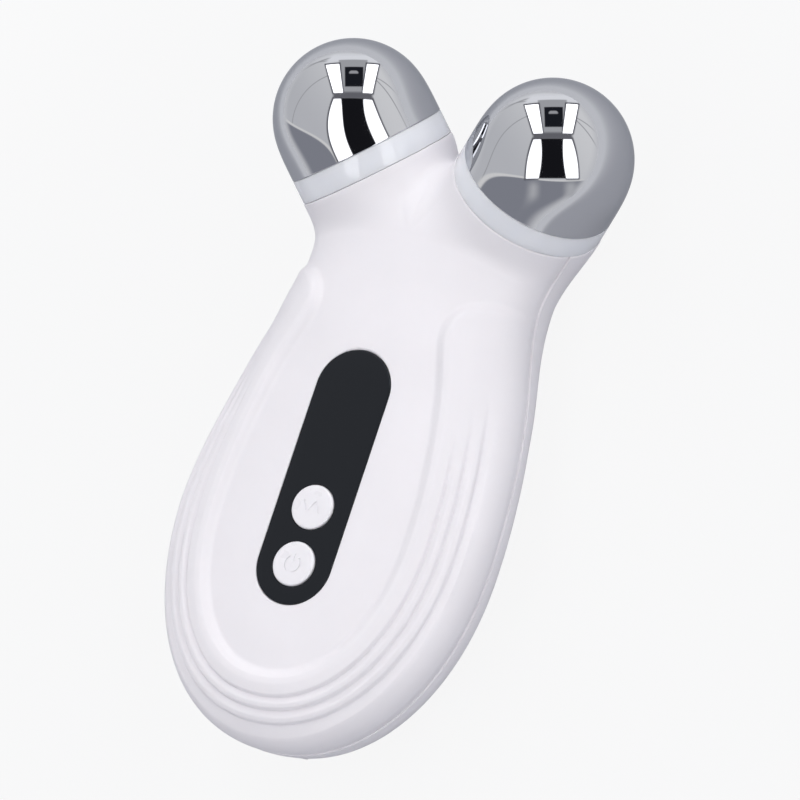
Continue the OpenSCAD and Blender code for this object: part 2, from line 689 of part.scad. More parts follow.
module core_clip(side) {
    color(steel) on_head(side) translate([0, 0, clip_z]) difference() {
        cylinder(r = hub_r + 1.6, h = clip_t);
        translate([0, 0, -1]) cylinder(r = clip_groove_r + seat_fit, h = clip_t + 2);
    }
}
ring_board_t = 1;
ring_board_z = clip_z + clip_t + 0.1;
module ring_board(side) {
    color(board_green) on_head(side) {
        translate([0, 0, ring_board_z]) difference() {
            cylinder(r = cup_bore - 0.1, h = ring_board_t);
            translate([0, 0, -1]) cylinder(r = hub_r + 0.1, h = ring_board_t + 2);
        }
        for (k = [0 : 5]) rotate([0, 0, 60 * k]) translate([6.4, -0.8, ring_board_z + ring_board_t])
            cube([1.6, 1.6, 0.7]);
    }
}
screw_tip = ball + head_axis * (web_z - head_t - 0.3);
module dome_screw(side) {
    color(steel) on_head(side) {
        translate([0, 0, web_z - head_t]) cylinder(r = head_r, h = head_t);
        translate([0, 0, web_z]) cylinder(r = screw_r, h = web_t + 6);
    }
}
module left_dome() dome(-1);
module right_dome() dome(1);
module left_light_ring() light_ring(-1);
module right_light_ring() light_ring(1);
module left_head_core() head_core(-1);
module right_head_core() head_core(1);
module left_ring_board() ring_board(-1);
module right_ring_board() ring_board(1);
module left_core_clip() core_clip(-1);
module right_core_clip() core_clip(1);
module left_dome_screw() dome_screw(-1);
module right_dome_screw() dome_screw(1);
module left_electrode_wire() electrode_wire(-1);
module right_electrode_wire() electrode_wire(1);

// ---- leads inside the housing ----
module lead_pair(path) {
    for (s = [-1, 1]) color(s < 0 ? "firebrick" : part_black)
        tube(spline([for (p = path) p + [s * 1.1, 0, 0]], 3), wire_r);
}
lead_z = board_z - socket_t * 0.7;
module battery_leads() {
    start_z = battery_z + battery_t - 1;
    lead_pair([[0, battery_end + wire_gap, start_z], [0, battery_end + 0.6, start_z],
               [0, battery_end + 0.7, start_z + 1.4],
               [0, socket_face_y + 1.2, lead_z], [0, socket_face_y + wire_gap, lead_z]]);
}
module charge_leads() {
    start_z = charge_z + charge_t + wire_r + wire_gap;
    end_y = -board_tail + tail_plug_back + plug_len;
    lead_pair([[0, charge_front + charge_len - 1.4, start_z], [0, charge_front + charge_len + 0.4, start_z],
               [0, end_y + 1.6, lead_z - 0.9], [0, end_y + 1.2, lead_z], [0, end_y + wire_gap, lead_z]]);
}

front_shell();
rear_shell();
control_panel();
mode_button();
power_button();
mode_switch();
power_switch();
mode_switch_plunger();
power_switch_plunger();
main_board();
controller_chip();
boost_inductor();
capacitors();
wire_sockets();
indicator_leds();
light_baffle();
board_screws();
case_screws();
battery();
battery_pad();
battery_leads();
charge_board();
usb_socket();
charge_leads();
left_dome();
right_dome();
left_light_ring();
right_light_ring();
left_head_core();
right_head_core();
left_ring_board();
right_ring_board();
left_core_clip();
right_core_clip();
left_dome_screw();
right_dome_screw();
left_electrode_wire();
right_electrode_wire();
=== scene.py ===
"""Looks for the facial toning device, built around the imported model."""

import math
from types import SimpleNamespace

import bmesh
import bpy
import numpy as np
from mathutils import Matrix, Vector


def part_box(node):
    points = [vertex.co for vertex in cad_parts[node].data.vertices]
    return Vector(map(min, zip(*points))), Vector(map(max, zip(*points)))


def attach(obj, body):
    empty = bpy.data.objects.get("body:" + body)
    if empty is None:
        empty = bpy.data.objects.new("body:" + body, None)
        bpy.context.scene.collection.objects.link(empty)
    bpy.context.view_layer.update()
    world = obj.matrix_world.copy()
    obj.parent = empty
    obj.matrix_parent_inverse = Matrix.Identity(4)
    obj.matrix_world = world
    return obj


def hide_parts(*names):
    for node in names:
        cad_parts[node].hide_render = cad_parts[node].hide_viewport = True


bl_info = {
    "name": "Facial toning device",
    "version": (1, 0, 0),
    "blender": (4, 5, 0),
    "location": "3D View > Sidebar > Toner",
    "description": "Moulded housing, chrome electrode domes, light rings, control panel and studio",
    "category": "Object",
}

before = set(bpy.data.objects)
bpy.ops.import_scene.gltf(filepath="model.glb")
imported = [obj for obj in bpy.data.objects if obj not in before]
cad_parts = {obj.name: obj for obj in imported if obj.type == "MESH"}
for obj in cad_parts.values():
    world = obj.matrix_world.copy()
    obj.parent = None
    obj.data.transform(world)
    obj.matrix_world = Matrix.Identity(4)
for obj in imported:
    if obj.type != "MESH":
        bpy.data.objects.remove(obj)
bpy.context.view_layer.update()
MM = 0.001

# ---- sizes and colours that a user would change ----


def length(label, about, millimetres):
    """A length property, kept in metres and written in millimetres."""
    return bpy.props.FloatProperty(
        name=label, description=about, default=millimetres * MM, min=0.0, unit="LENGTH", precision=5
    )


def linear(hex_colour):
    """An sRGB hex colour such as "#EEECF2" as linear red, green and blue."""
    parts = [int(hex_colour[k : k + 2], 16) / 255 for k in (1, 3, 5)]
    return tuple(c / 12.92 if c <= 0.04045 else ((c + 0.055) / 1.055) ** 2.4 for c in parts)


def colour(label, about, hex_colour):
    """A colour property with its default given in sRGB hex."""
    return bpy.props.FloatVectorProperty(
        name=label, description=about, subtype="COLOR", size=3, min=0.0, max=1.0,
        default=linear(hex_colour),
    )


class TonerHousing(bpy.types.PropertyGroup):
    """Sizes and colour of the moulded housing."""

    half_w: length("Half width", "Half width at the seam, at the widest section", 26.4)
    tail_len: length("Tail length", "From the widest section to the tail end", 34.8)
    panel_h: length("Face height", "Height of the panel face over the table", 24.5)
    seam_h: length("Seam height", "Height of the seam at the widest section", 13.5)
    seam_dip: length("Seam dip", "How far the seam dips towards the waist", 1.3)
    shoulder_y: length("Shoulder distance", "From the widest section to the shoulder", 24)
    shoulder_w: length("Shoulder half width", "Half width at the shoulder", 23.5)
    waist_y: length("Waist distance", "From the widest section to the waist", 40.5)
    waist_w: length("Waist half width", "Half width at the waist", 19.7)
    wall: length("Wall", "Wall of the shells", 2.2)
    band_h: length("Band height", "Height of the raised U-shaped band", 1.2)
    band_w: length("Band width", "From the seam outline to the foot of the band", 10.7)
    band_step: length("Band step", "Width of the band's inner step", 1.7)
    hook_y: length("Hook distance", "Where the band starts to hook outwards", 32)
    hook_len: length("Hook length", "Length of the hooks along the housing", 7)
    waist_slim: length("Waist slimming", "How far the front's flanks stand back at the waist", 1.1)
    rib_first: length("First rib", "From the seam outline to the outermost rib", 3.05)
    rib_pitch: length("Rib pitch", "Distance from one rib to the next", 1.8)
    rib_depth: length("Rib depth", "Depth of each rib's step", 0.55)
    edge_round: length("Edge rounding", "Radius of the shells' edges along the seam", 0.16)
    front_round: bpy.props.FloatProperty(
        name="Front roundness", description="2 is an ellipse and more is boxier", default=2.5, min=2.0, max=4.0
    )
    rear_round: bpy.props.FloatProperty(
        name="Rear roundness", description="2 is an ellipse and more is boxier", default=2.1, min=2.0, max=4.0
    )
    shell_colour: colour("Housing colour", "Colour of the white housing", "#ECE9ED")


class TonerHeads(bpy.types.PropertyGroup):
    """Sizes and colours of the two heads."""

    dome_r: length("Dome radius", "Radius of the electrode domes", 12.5)
    dome_x: length("Dome distance", "Distance of the dome centres from the middle plane", 17.63)
    dome_y: length("Dome position", "Distance of the dome centres from the widest section", 61.97)
    dome_h: length("Dome height", "Height of the dome centres over the table", 19.74)
    skirt_len: length("Skirt length", "Length of the dome's straight skirt", 4.4)
    dome_wall: length("Dome wall", "Wall of the dome", 1.1)
    ring_h: length("Ring height", "Visible height of the light ring", 3.8)
    lip_step: length("Lip", "How far the housing's lip stands out round the ring", 0.08)
    splay: bpy.props.FloatProperty(
        name="Splay", description="Angle of each head out to its side", subtype="ANGLE",
        default=math.radians(36.6),
    )
    lean: bpy.props.FloatProperty(
        name="Lean", description="Angle of each head out of the panel plane", subtype="ANGLE",
        default=math.radians(31.4),
    )
    chrome_colour: colour("Chrome colour", "Colour that the plating reflects", "#C4C5C9")
    ring_colour: colour("Ring colour", "Colour of the translucent rings", "#E8EAF0")


class TonerPanel(bpy.types.PropertyGroup):
    """Sizes and colours of the control panel and its buttons."""

    panel_len: length("Panel length", "Length of the panel", 40.5)
    panel_w: length("Panel width", "Width of the panel", 12.62)
    panel_t: length("Panel thickness", "Thickness of the panel", 1.2)
    panel_tail: length("Panel start", "From the widest section to the panel's tail end", 14.3)
    button_r: length("Button radius", "Radius of the two buttons", 3.46)
    power_y: length("Power button", "From the widest section to the power button", 8)
    button_gap: length("Button distance", "From one button centre to the other", 9.04)
    button_rise: length("Button rise", "How far the caps stand over the panel", 0.35)
    panel_colour: colour("Panel colour", "Colour of the smoked panel", "#0A0B0F")
    button_colour: colour("Button colour", "Colour of the button caps", "#EDEBEF")


class TonerStudio(bpy.types.PropertyGroup):
    """The camera, the floor and the light tent."""

    camera_at: bpy.props.FloatVectorProperty(
        name="Camera", description="Where the camera stands", subtype="TRANSLATION", unit="LENGTH",
        default=(0.633924, -0.203178, 1.101877),
    )
    camera_turn: bpy.props.FloatVectorProperty(
        name="Camera turn", description="Rotation vector of the camera, in radians",
        default=(0.2556, 0.4916, 0.2666),
    )
    camera_lens: bpy.props.FloatProperty(
        name="Lens", description="Focal length on a 36 mm sensor, in millimetres", default=380.57
    )
    floor_size: bpy.props.FloatProperty(
        name="Floor size", description="Side of the square floor", unit="LENGTH", default=12.0
    )
    # painted shade and light: the floor's colour is darker next to the object and lighter towards the tent's
    # walls, set by distance from the object
    floor_painted_shade_colour: colour("Floor colour", "Colour of the pale floor next to the object", "#A6A8B0")
    far_floor_painted_light_colour: colour("Far floor colour", "Colour of the floor towards the tent's walls", "#E6E7EA")
    tent_colour: colour("Tent colour", "Colour of the light tent's cloth", "#EDEEF1")
    sweep_colour: colour("Sweep colour", "Colour of the tent's grey front sweep", "#9C9EA7")
    softbox_power: bpy.props.FloatProperty(
        name="Softbox strength", description="Brightness of the four strip lights", default=3.3
    )


def settings(name):
    """One group of settings with its lengths in millimetres."""
    group = getattr(bpy.context.scene, name)
    out = SimpleNamespace(group=group)
    for key, kind in group.__annotations__.items():
        value = getattr(group, key)
        if kind.keywords.get("unit") == "LENGTH" and isinstance(value, float):
            value = value / MM
        setattr(out, key, value)
    return out


# ---- shape of the housing, in millimetres ----

# The body's loft: sections round the tail, the tail's roundness (2 is an ellipse), and how the sides
# run at the shoulder and widen past the waist
TAIL_STEPS = 110
TAIL_ROUND = 2.1
SHOULDER_SLOPE = -0.235
NECK_FLARE = 0.04
# The back would reach a little below the table, so it is cut flat there, and it rises past the rest
REST_END = 36
REAR_SINK = 0.35
REAR_LIFT = 1.2
# The face falls a little towards the necks, over the same run as the back rises
FACE_DROP = 0.6
FACE_DROP_AT = 26
RISE_RUN = 20
# The back is fuller at the waist
WAIST_FULLER = 0.45
WAIST_FULLER_AT = 18
WAIST_FULLER_RUN = 22
# The necks: loops along them, and how hard and from how far their mouths pull the loops straight
NECK_STEPS = 46
NECK_PULL = 1.1
NECK_PULL_MOST = 12
# The fork between them: its points, where it starts on each mouth's circle in degrees, and its middle
FORK_STEPS = 34
FORK_TURN = 118
CROTCH_Y = 59.6
CROTCH_Z = 15
# The band's inner step and its rounded ends
BAND_EDGE = (0, 0.12, 0.3, 0.55, 0.8, 1, 1.2)
BAND_RISE = (0, 0.04, 0.2, 0.6, 0.9, 0.98, 1)
HOOK_ROUND = 2.5
# The band's crest, in from the outline, and how far it stands over the band
CREST_AT = 8.4
CREST_RELIEF = 1.08
# Each rib is a steep riser, a flat crest up to the run, and a slope down to the next one; the ribs
# fade out one after another up the flanks
RIB_COUNT = 3
RIB_RISER = 0.35
RIB_RUN = 1.05
RIB_LIFT = 0.04
RIB_END = 26
RIB_STAGGER = 2.6
RIB_FADE = 15
# The slimming of the waist: where it starts and how far it takes to grow, where half of it ends, and
# how far in from the outline it reaches
SLIM_START = -3
SLIM_RUN = 25
SLIM_BACK_AT = 27
SLIM_BACK_RUN = 8
SLIM_REACH = 2
SLIM_FADE = 6.5
# The front stands back from the rear along the seam, by this much and over this width
SEAM_STEP = 0.22
SEAM_STEP_END = 1.8
SEAM_STEP_RUN = 1.2
# Shares of the section's height, and the band's relief on the way up from the seam
SIDE_HEIGHTS = (0, 0.2, 0.38, 0.52)
SIDE_RELIEF = (0, 0.35, 0.72, 0.9)
LOW_HEIGHTS = (0, 0.003, 0.007, 0.012, 0.02, 0.035, 0.06, 0.09, 0.12, 0.16, 0.2, 0.24, 0.28, 0.32,
               0.36, 0.4, 0.44, 0.48, 0.52)
# Points across a section: over the band, over the face, and on the inner wall
RELIEF_END = 11.7
RELIEF_ROWS = 84
INNER_ROWS = 22
WALL_PARTS = (0, 0.012, 0.045, 0.1, 0.18, 0.29, 0.44, 0.62, 0.8, 1)
# The necks' mouths and the rounded lips of the mouths and of the panel's recess
RIM_WALL = 1.2
SOCKET_LEN = 3.5
LIP = 0.22
LIP_STEPS = 4
# Play between the panel or a cap and what it sits in
FIT = 0.06
# The port's cutter: places from the tail's end inwards, and how much wider the opening is there
PORT_PLAY = 0.3
PORT_RINGS = ((-3, 0.6), (-0.25, 0.6), (0.35, 0), (6, 0))
# The bevel round the panel's upper edge
PANEL_BEVEL = 0.14
# A cap: how far its rim is rounded inwards and downwards, the dish of its top, where its flange starts
# over its lower end and how thick it is, the stem's radius, and the mark's line
CAP_ROUND_IN = 0.32
CAP_ROUND_DOWN = 0.26
CAP_DISH = 0.03
FLANGE_AT = 0.7
FLANGE_T = 0.6
FLANGE_PLAY = 1.05
STEM_R = 1.3
MARK_W = 0.3
MARK_DEPTH = 0.16
# A dome: the steps along its outline, the length over which its roundness fades into the skirt, and
# the round edge at the skirt's end
DOME_STEP = 0.05
DOME_FADE = 9.0
DOME_EDGE = 0.16
# A light ring: its bore, the wall of its cup, the spigot's length, and its play in the mouth
RING_BORE = 4.55
RING_WALL = 1.2
SPIGOT_LEN = 3.2
SPIGOT_PLAY = 0.42
RING_GAP = 0.05
# Edges that turn by more than this, in degrees, are shaded sharp
SHARP = 32


def smooth(v):
    """A smooth step from 0 to 1."""
    c = np.clip(v, 0, 1)
    return c * c * (3 - 2 * c)


def cubic(a, ma, b, mb, u):
    """Cubic from a to b with end slopes ma and mb, both already times the step."""
    return (a * (2 * u**3 - 3 * u**2 + 1) + ma * (u**3 - 2 * u**2 + u)
            + b * (3 * u**2 - 2 * u**3) + mb * (u**3 - u**2))


def cubic_slope(a, ma, b, mb, u):
    """Slope of that cubic."""
    return (b - a) * (6 * u - 6 * u**2) + ma * (3 * u**2 - 4 * u + 1) + mb * (3 * u**2 - 2 * u)


def side(z, y):
    """Half width of the seam outline at y, and its slope."""
    y = np.asarray(y, float)
    waist_run = z.waist_y - z.shoulder_y
    first = (z.half_w, 0.0, z.shoulder_w, SHOULDER_SLOPE * z.shoulder_y)
    second = (z.shoulder_w, SHOULDER_SLOPE * waist_run, z.waist_w, 0.0)
    u, v = y / z.shoulder_y, (y - z.shoulder_y) / waist_run
    width = np.where(y < z.shoulder_y, cubic(*first, u), cubic(*second, v))
    first_slope, second_slope = cubic_slope(*first, u) / z.shoulder_y, cubic_slope(*second, v) / waist_run
    slope = np.where(y < z.shoulder_y, first_slope, second_slope)
    past = y > z.waist_y
    width = np.where(past, z.waist_w + NECK_FLARE * (y - z.waist_y) ** 2, width)
    return width, np.where(past, 2 * NECK_FLARE * (y - z.waist_y), slope)


def outline(z):
    """Points along the right half of the seam, their inward directions and distances to the middle plane."""
    a = np.radians(90 * (1 - np.arange(TAIL_STEPS + 1) / TAIL_STEPS))
    c, s = np.cos(a), np.sin(a)
    c[0] = 0
    tail = np.stack([z.half_w * c ** (2 / TAIL_ROUND), -z.tail_len * s ** (2 / TAIL_ROUND)], 1)
    aim = np.stack([0 * s, -(z.tail_len - z.half_w**2 / z.tail_len) * s], 1)
    run = np.linalg.norm(aim - tail, axis=1)
    hook_end = z.hook_y + z.hook_len
    ys = np.concatenate([
        np.linspace(0, z.hook_y, 66)[1:],
        np.linspace(z.hook_y, hook_end + 0.2, 56)[1:],
        np.linspace(hook_end + 0.2, z.waist_y + 2, 14)[1:],
    ])
    width, slope = side(z, ys)
    normal = np.stack([-np.ones_like(ys), slope], 1)
    normal /= np.linalg.norm(normal, axis=1, keepdims=True)
    flank = np.stack([width, ys], 1)
    points = np.concatenate([tail, flank])
    inward = np.concatenate([(aim - tail) / run[:, None], normal])
    reach = np.concatenate([run, width / -normal[:, 0]])
    return points, inward, reach


def inset_at(height, reach, roundness):
    """Distance in from the outline at which the section has risen to this share of its height."""
    return reach * (1 - (1 - np.asarray(height, float) ** roundness) ** (1 / roundness))


def band_relief(z, y, reach):
    """Insets across one section of the front, and the relief there: the band with its ribs."""

    def flank(inset):
        """Share of the slimming at an inset: all of it near the seam, none on the band's crest."""
        return 1 - smooth((inset - SLIM_REACH) / SLIM_FADE)

    low = inset_at(LOW_HEIGHTS, reach, z.front_round)
    edge = low[-1]
    at, height, groove = [edge], [SIDE_RELIEF[-1]], [0.0]
    for rib in range(RIB_COUNT):
        start = z.rib_first + rib * z.rib_pitch
        at += [start, start + RIB_RISER, start + RIB_RUN]
        height += [0.94 + RIB_LIFT * rib, 0.96 + RIB_LIFT * rib, 0.98 + RIB_LIFT * rib]
        groove += [-z.rib_depth * float(smooth((RIB_END - RIB_STAGGER * rib - y) / RIB_FADE)), 0.0, 0.0]
    at += [CREST_AT, z.band_w - z.band_step]
    height += [CREST_RELIEF, 1]
    groove += [0.0, 0.0]
    # towards the waist the flank is slimmer, and the band leans outwards on it
    grown, back = smooth((y - SLIM_START) / SLIM_RUN), smooth((y - SLIM_BACK_AT) / SLIM_BACK_RUN)
    slim = z.waist_slim / z.band_h * float(grown * (1 - 0.5 * back))
    middle = np.linspace(edge, RELIEF_END, RELIEF_ROWS + 1)
    band = np.interp(middle, at, height) * (1 - slim * flank(middle))
    relief = band + np.interp(middle, at, groove)
    soft = np.convolve(np.pad(relief, 1, mode="edge"), np.array([1, 2, 1]) / 4, mode="valid")
    share = np.linspace(0, 1, INNER_ROWS + 1)[1:]
    inset = np.concatenate([low, middle[1:], RELIEF_END + (reach - RELIEF_END) * share])
    inset[-1] = reach
    rise = np.interp(LOW_HEIGHTS, SIDE_HEIGHTS, SIDE_RELIEF) * (1 - slim * flank(low))
    relief = np.concatenate([rise, soft[1:], 0 * share])
    # distance in from the band's inner edge, which turns outwards along a rounded corner at its end
    past = max(y - z.hook_y, 0) / z.hook_len
    across = inset / z.band_w
    far = np.maximum((across**HOOK_ROUND + past**HOOK_ROUND) ** (1 / HOOK_ROUND), 1e-6)
    power = HOOK_ROUND - 1
    slope = np.hypot((across / far) ** power / z.band_w, (past / far) ** power / z.hook_len)
    deep = (1 - far) / np.maximum(slope, 1e-6) / z.band_step
    return inset, relief * np.interp(deep, BAND_EDGE, BAND_RISE)


def seam_edge(z, off, up):
    """How far the skin lies back at this distance from the seam: a rounded edge, and a step on the front."""
    near = np.clip(1 - off / z.edge_round, 0, 1)
    step = SEAM_STEP * smooth((SEAM_STEP_END - off) / SEAM_STEP_RUN) if up > 0 else 0
    return z.edge_round * (1 - np.sqrt(1 - near**2)) + step


def skin(z, up, depth):
    """The trunk of one skin as an array of sections, each an array of points."""
    points, inward, reach = outline(z)
    sections = []
    for p, n, full in zip(points, inward, reach):
        fuller = WAIST_FULLER * float(smooth((p[1] - WAIST_FULLER_AT) / WAIST_FULLER_RUN))
        roundness = z.front_round if up > 0 else z.rear_round + fuller
        if up > 0 and depth == 0:
            inset, relief = band_relief(z, p[1], full)
        elif depth > 0:
            inset = full * np.array(WALL_PARTS)
            relief = 0 * inset
        else:
            share = np.concatenate([inset_at(LOW_HEIGHTS, 1, roundness), np.linspace(0.09, 1, 40)])
            inset, relief = full * share, 0 * share
        span = full - depth
        d = inset * span / full
        base = z.seam_h - z.seam_dip * smooth(p[1] / z.waist_y)
        middle_y = p[1] + n[1] * full
        if up > 0:
            top = z.panel_h - FACE_DROP * smooth((middle_y - FACE_DROP_AT) / RISE_RUN) - depth
        else:
            top = -REAR_SINK + REAR_LIFT * smooth((middle_y - REST_END) / RISE_RUN) + depth
        rise = top - base
        rho = np.clip(1 - d / span, 0, 1)
        h = (1 - rho**roundness) ** (1 / roundness)
        gx, gz = rho ** (roundness - 1) / span, h ** (roundness - 1) / abs(rise)
        size = np.hypot(gx, gz)
        gx, gz = gx / size, gz / size
        out = depth + d - relief * z.band_h * gx
        height = base + rise * h + up * relief * z.band_h * gz
        if depth == 0:
            out = out + seam_edge(z, abs(height - base), up)
        flat = p[None, :] + n[None, :] * out[:, None]
        if up < 0:
            height = np.maximum(height, depth)
        flat[-1, 0] = 0
        if p[0] == 0:
            flat[:, 0] = 0
        sections.append(np.column_stack([flat, height]))
    return np.array(sections)


def head_axes(h):
    """The right head's dome centre, its outward axis, its side and its up direction."""
    level = math.cos(h.lean)
    axis = np.array([math.sin(h.splay) * level, math.cos(h.splay) * level, math.sin(h.lean)])
    across = np.array([math.cos(h.splay), -math.sin(h.splay), 0])
    return np.array([h.dome_x, h.dome_y, h.dome_h]), axis, across, np.cross(across, axis)


def mouth_loop(h, turns, up, radius, sink):
    """Points on a circle of the right neck, sunk below its mouth."""
    ball, axis, across, rise = head_axes(h)
    centre = ball - axis * (h.skirt_len + h.ring_h + sink)
    t = np.radians(turns)[:, None]
    return centre + np.broadcast_to(np.asarray(radius, float), len(turns))[:, None] * (
        np.cos(t) * across + up * np.sin(t) * rise
    )


def neck(z, h, root, up, depth, loops):
    """The fork and the loops that carry the last section of the trunk to the round mouth of the neck."""
    axis = head_axes(h)[1]
    radius = h.dome_r + h.lip_step
    t = np.arange(1, FORK_STEPS + 1) / FORK_STEPS
    last = root[-1]
    fork = np.column_stack([
        0 * t,
        last[1] + (CROTCH_Y - depth - last[1]) * np.sin(t * math.pi / 2),
        CROTCH_Z + (last[2] - CROTCH_Z) * np.cos(t * math.pi / 2),
    ])
    fork[-1] = (0, CROTCH_Y - depth, CROTCH_Z)
    run = np.concatenate([[0], np.cumsum(np.linalg.norm(np.diff(root, axis=0), axis=1))])
    share = run / run[-1]
    starts = np.concatenate([root, fork])
    turns = np.concatenate([FORK_TURN * share, FORK_TURN + (180 - FORK_TURN) * t])
    lean_in = np.concatenate([0.5 * smooth((share - 0.55) / 0.45), 0.5 + 0.5 * smooth(2 * t)])
    width, slope = side(z, z.waist_y + 2)
    along = np.column_stack([slope / width * starts[:, 0], np.ones(len(starts)), np.zeros(len(starts))])
    along /= np.linalg.norm(along, axis=1, keepdims=True)
    aim = along * (1 - lean_in[:, None]) + np.array([1.0, 0, 0]) * lean_in[:, None]
    aim /= np.linalg.norm(aim, axis=1, keepdims=True)
    if depth:
        ends = mouth_loop(h, turns, up, radius - depth, SOCKET_LEN)
        rims = [(radius - RIM_WALL, SOCKET_LEN), (radius - RIM_WALL, 0)]
    else:
        groove = seam_edge(z, np.concatenate([run, 0 * t + run[-1]]), up)
        ends = mouth_loop(h, turns, up, radius - groove, LIP)
        bend = [math.radians(90 * k / LIP_STEPS) for k in range(1, LIP_STEPS + 1)]
        rims = [(radius - groove - LIP * (1 - math.cos(b)), LIP * (1 - math.sin(b))) for b in bend]
    reach = np.linalg.norm(ends - starts, axis=1)[:, None]
    pull = axis * np.minimum(reach, NECK_PULL_MOST) * NECK_PULL
    steps = loops - len(rims)
    out = [cubic(starts, aim * reach, ends, pull, k / steps) for k in range(1, steps + 1)]
    out += [mouth_loop(h, turns, up, r, sink) for r, sink in rims]
    return fork, np.array(out)


def shell_mesh(z, h, up):
    """Vertices and faces of one shell, outside and inside, as one closed skin."""
    points, faces = [], []
    edges = {}
    loops = NECK_STEPS + LIP_STEPS
    for name, depth in (("out", 0.0), ("in", z.wall)):
        trunk = skin(z, up, depth)
        fork, rings = neck(z, h, trunk[-1], up, depth, loops)
        start = sum(len(p) for p in points)
        body = start + np.arange(trunk.shape[0] * trunk.shape[1]).reshape(trunk.shape[:2])
        fork_ids = body[-1, -1] + 1 + np.arange(len(fork))
        ring_count = rings.shape[0] * rings.shape[1]
        ring_ids = fork_ids[-1] + 1 + np.arange(ring_count).reshape(rings.shape[:2])
        tube = np.vstack([np.concatenate([body[-1], fork_ids])[None], ring_ids])
        points += [trunk.reshape(-1, 3), fork, rings.reshape(-1, 3)]
        for grid in (body, tube):
            quads = np.stack([grid[:-1, :-1], grid[1:, :-1], grid[1:, 1:], grid[:-1, 1:]], -1)
            faces += quads.reshape(-1, 4).tolist()
        edges[name] = (np.concatenate([body[:, 0], tube[1:, 0]]), tube[:, -1], tube[-1])
    for k in (0, 1):
        a, b = edges["out"][k], edges["in"][k]
        faces += np.stack([a[:-1], b[:-1], b[1:], a[1:]], -1).tolist()
    faces.append(edges["out"][2].tolist() + edges["in"][2][::-1].tolist())
    right = np.concatenate(points)
    # the left half mirrors the right one, and shares its points on the middle plane
    right_ids = np.arange(len(right))
    left_ids = np.where(np.abs(right[:, 0]) < 1e-7, right_ids, right_ids + len(right))
    faces += [left_ids[f][::-1].tolist() for f in faces]
    return np.concatenate([right, right * (-1, 1, 1)]), faces


# ---- small mesh tools ----


def new_object(name, vertices, faces):
    """A smooth-shaded object from millimetre points, with its loose points and doubles removed."""
    mesh = bpy.data.meshes.new(name)
    mesh.from_pydata((np.asarray(vertices) * MM).tolist(), [], [list(f) for f in faces])
    obj = bpy.data.objects.new(name, mesh)
    bpy.context.scene.collection.objects.link(obj)
    tidy_mesh(obj)
    return obj


def tidy_mesh(obj):
    """Merges doubles, drops loose points, turns the faces outwards and marks the sharp edges."""
    work = bmesh.new()
    work.from_mesh(obj.data)
    bmesh.ops.remove_doubles(work, verts=work.verts, dist=2e-7)
    bmesh.ops.dissolve_degenerate(work, edges=work.edges, dist=1e-7)
    bmesh.ops.delete(work, geom=[v for v in work.verts if not v.link_faces], context="VERTS")
    bmesh.ops.recalc_face_normals(work, faces=work.faces)
    work.to_mesh(obj.data)
    work.free()
    obj.data.polygons.foreach_set("use_smooth", [True] * len(obj.data.polygons))
    obj.data.set_sharp_from_angle(angle=math.radians(SHARP))


def cut(obj, cutters):
    """Cuts the cutters out of obj, and removes them."""
    for cutter in cutters:
        step = obj.modifiers.new("cut", "BOOLEAN")
        step.operation = "DIFFERENCE"
        step.solver = "MANIFOLD"
        step.object = cutter
    graph = bpy.context.evaluated_depsgraph_get()
    done = bpy.data.meshes.new_from_object(obj.evaluated_get(graph))
    obj.modifiers.clear()
    obj.data = done
    for cutter in cutters:
        bpy.data.objects.remove(cutter)
    tidy_mesh(obj)


def pill_loop(width, height, middle, z, steps=48):
    """Points round a pill shape that lies along Y."""
    r, straight = width / 2, (height - width) / 2
    loop = []
    for start, end in ((0, straight), (math.pi, -straight)):
        loop += [(r * math.cos(a), middle + end + r * math.sin(a), z)
                 for a in np.linspace(start, start + math.pi, steps)]
    return loop


def panel_loop(p, grow, z):
    """The panel's outline at a height, wider and longer than the panel by grow."""
    return pill_loop(p.panel_w + grow, p.panel_len + grow, p.panel_len / 2 - p.panel_tail, z)


def button_places(p):
    """Where the power and the mode button sit along the body."""
    return -p.power_y, -p.power_y + p.button_gap


def stacked(name, rings):
    """A closed solid from loops of equally many points, capped at both ends."""
    count = len(rings[0])
    faces = []
    for k in range(len(rings) - 1):
        low, high = k * count, (k + 1) * count
        faces += [[low + i, low + (i + 1) % count, high + (i + 1) % count, high + i] for i in range(count)]
    last = (len(rings) - 1) * count
    faces += [list(range(count))[::-1], [last + i for i in range(count)]]
    return new_object(name, [p for ring in rings for p in ring], faces)


def disc_loop(r, y, z, steps=96):
    """Points round a circle that lies flat, with its middle on the middle plane."""
    return [(r * math.cos(a), y + r * math.sin(a), z) for a in np.arange(steps) * 2 * math.pi / steps]


def lathe(name, profile, segments):
    """A solid turned from (radius, height) pairs; it starts and ends on the axis, or closes on itself."""
    closed = profile[0][0] > 1e-9
    vertices, rings = [], []
    for r, height in profile:
        if r < 1e-9:
            rings.append([len(vertices)] * segments)
            vertices.append((0, 0, height))
            continue
        rings.append([len(vertices) + i for i in range(segments)])
        vertices += disc_loop(r, 0, height, segments)
    faces = []
    for k in range(len(rings) - (0 if closed else 1)):
        a, b = rings[k], rings[(k + 1) % len(rings)]
        for i in range(segments):
            j = (i + 1) % segments
            face = list(dict.fromkeys([a[i], a[j], b[j], b[i]]))
            if len(face) > 2:
                faces.append(face)
    return new_object(name, vertices, faces)


def rounded(points, radii, steps=5):
    """A profile whose corners are rounded by the radii given, 0 for a sharp one."""
    out = []
    for k, (p, r) in enumerate(zip(points, radii)):
        if not r:
            out.append(tuple(p))
            continue
        p = Vector(p)
        before = (Vector(points[k - 1]) - p).normalized()
        after = (Vector(points[(k + 1) % len(points)]) - p).normalized()
        half = before.angle(after) / 2
        back = r / math.tan(half)
        centre = p + (before + after).normalized() * (r / math.sin(half))
        a, b = p + before * back - centre, p + after * back - centre
        for i in range(steps + 1):
            out.append(tuple(centre + a.slerp(b, i / steps) * r))
    return out


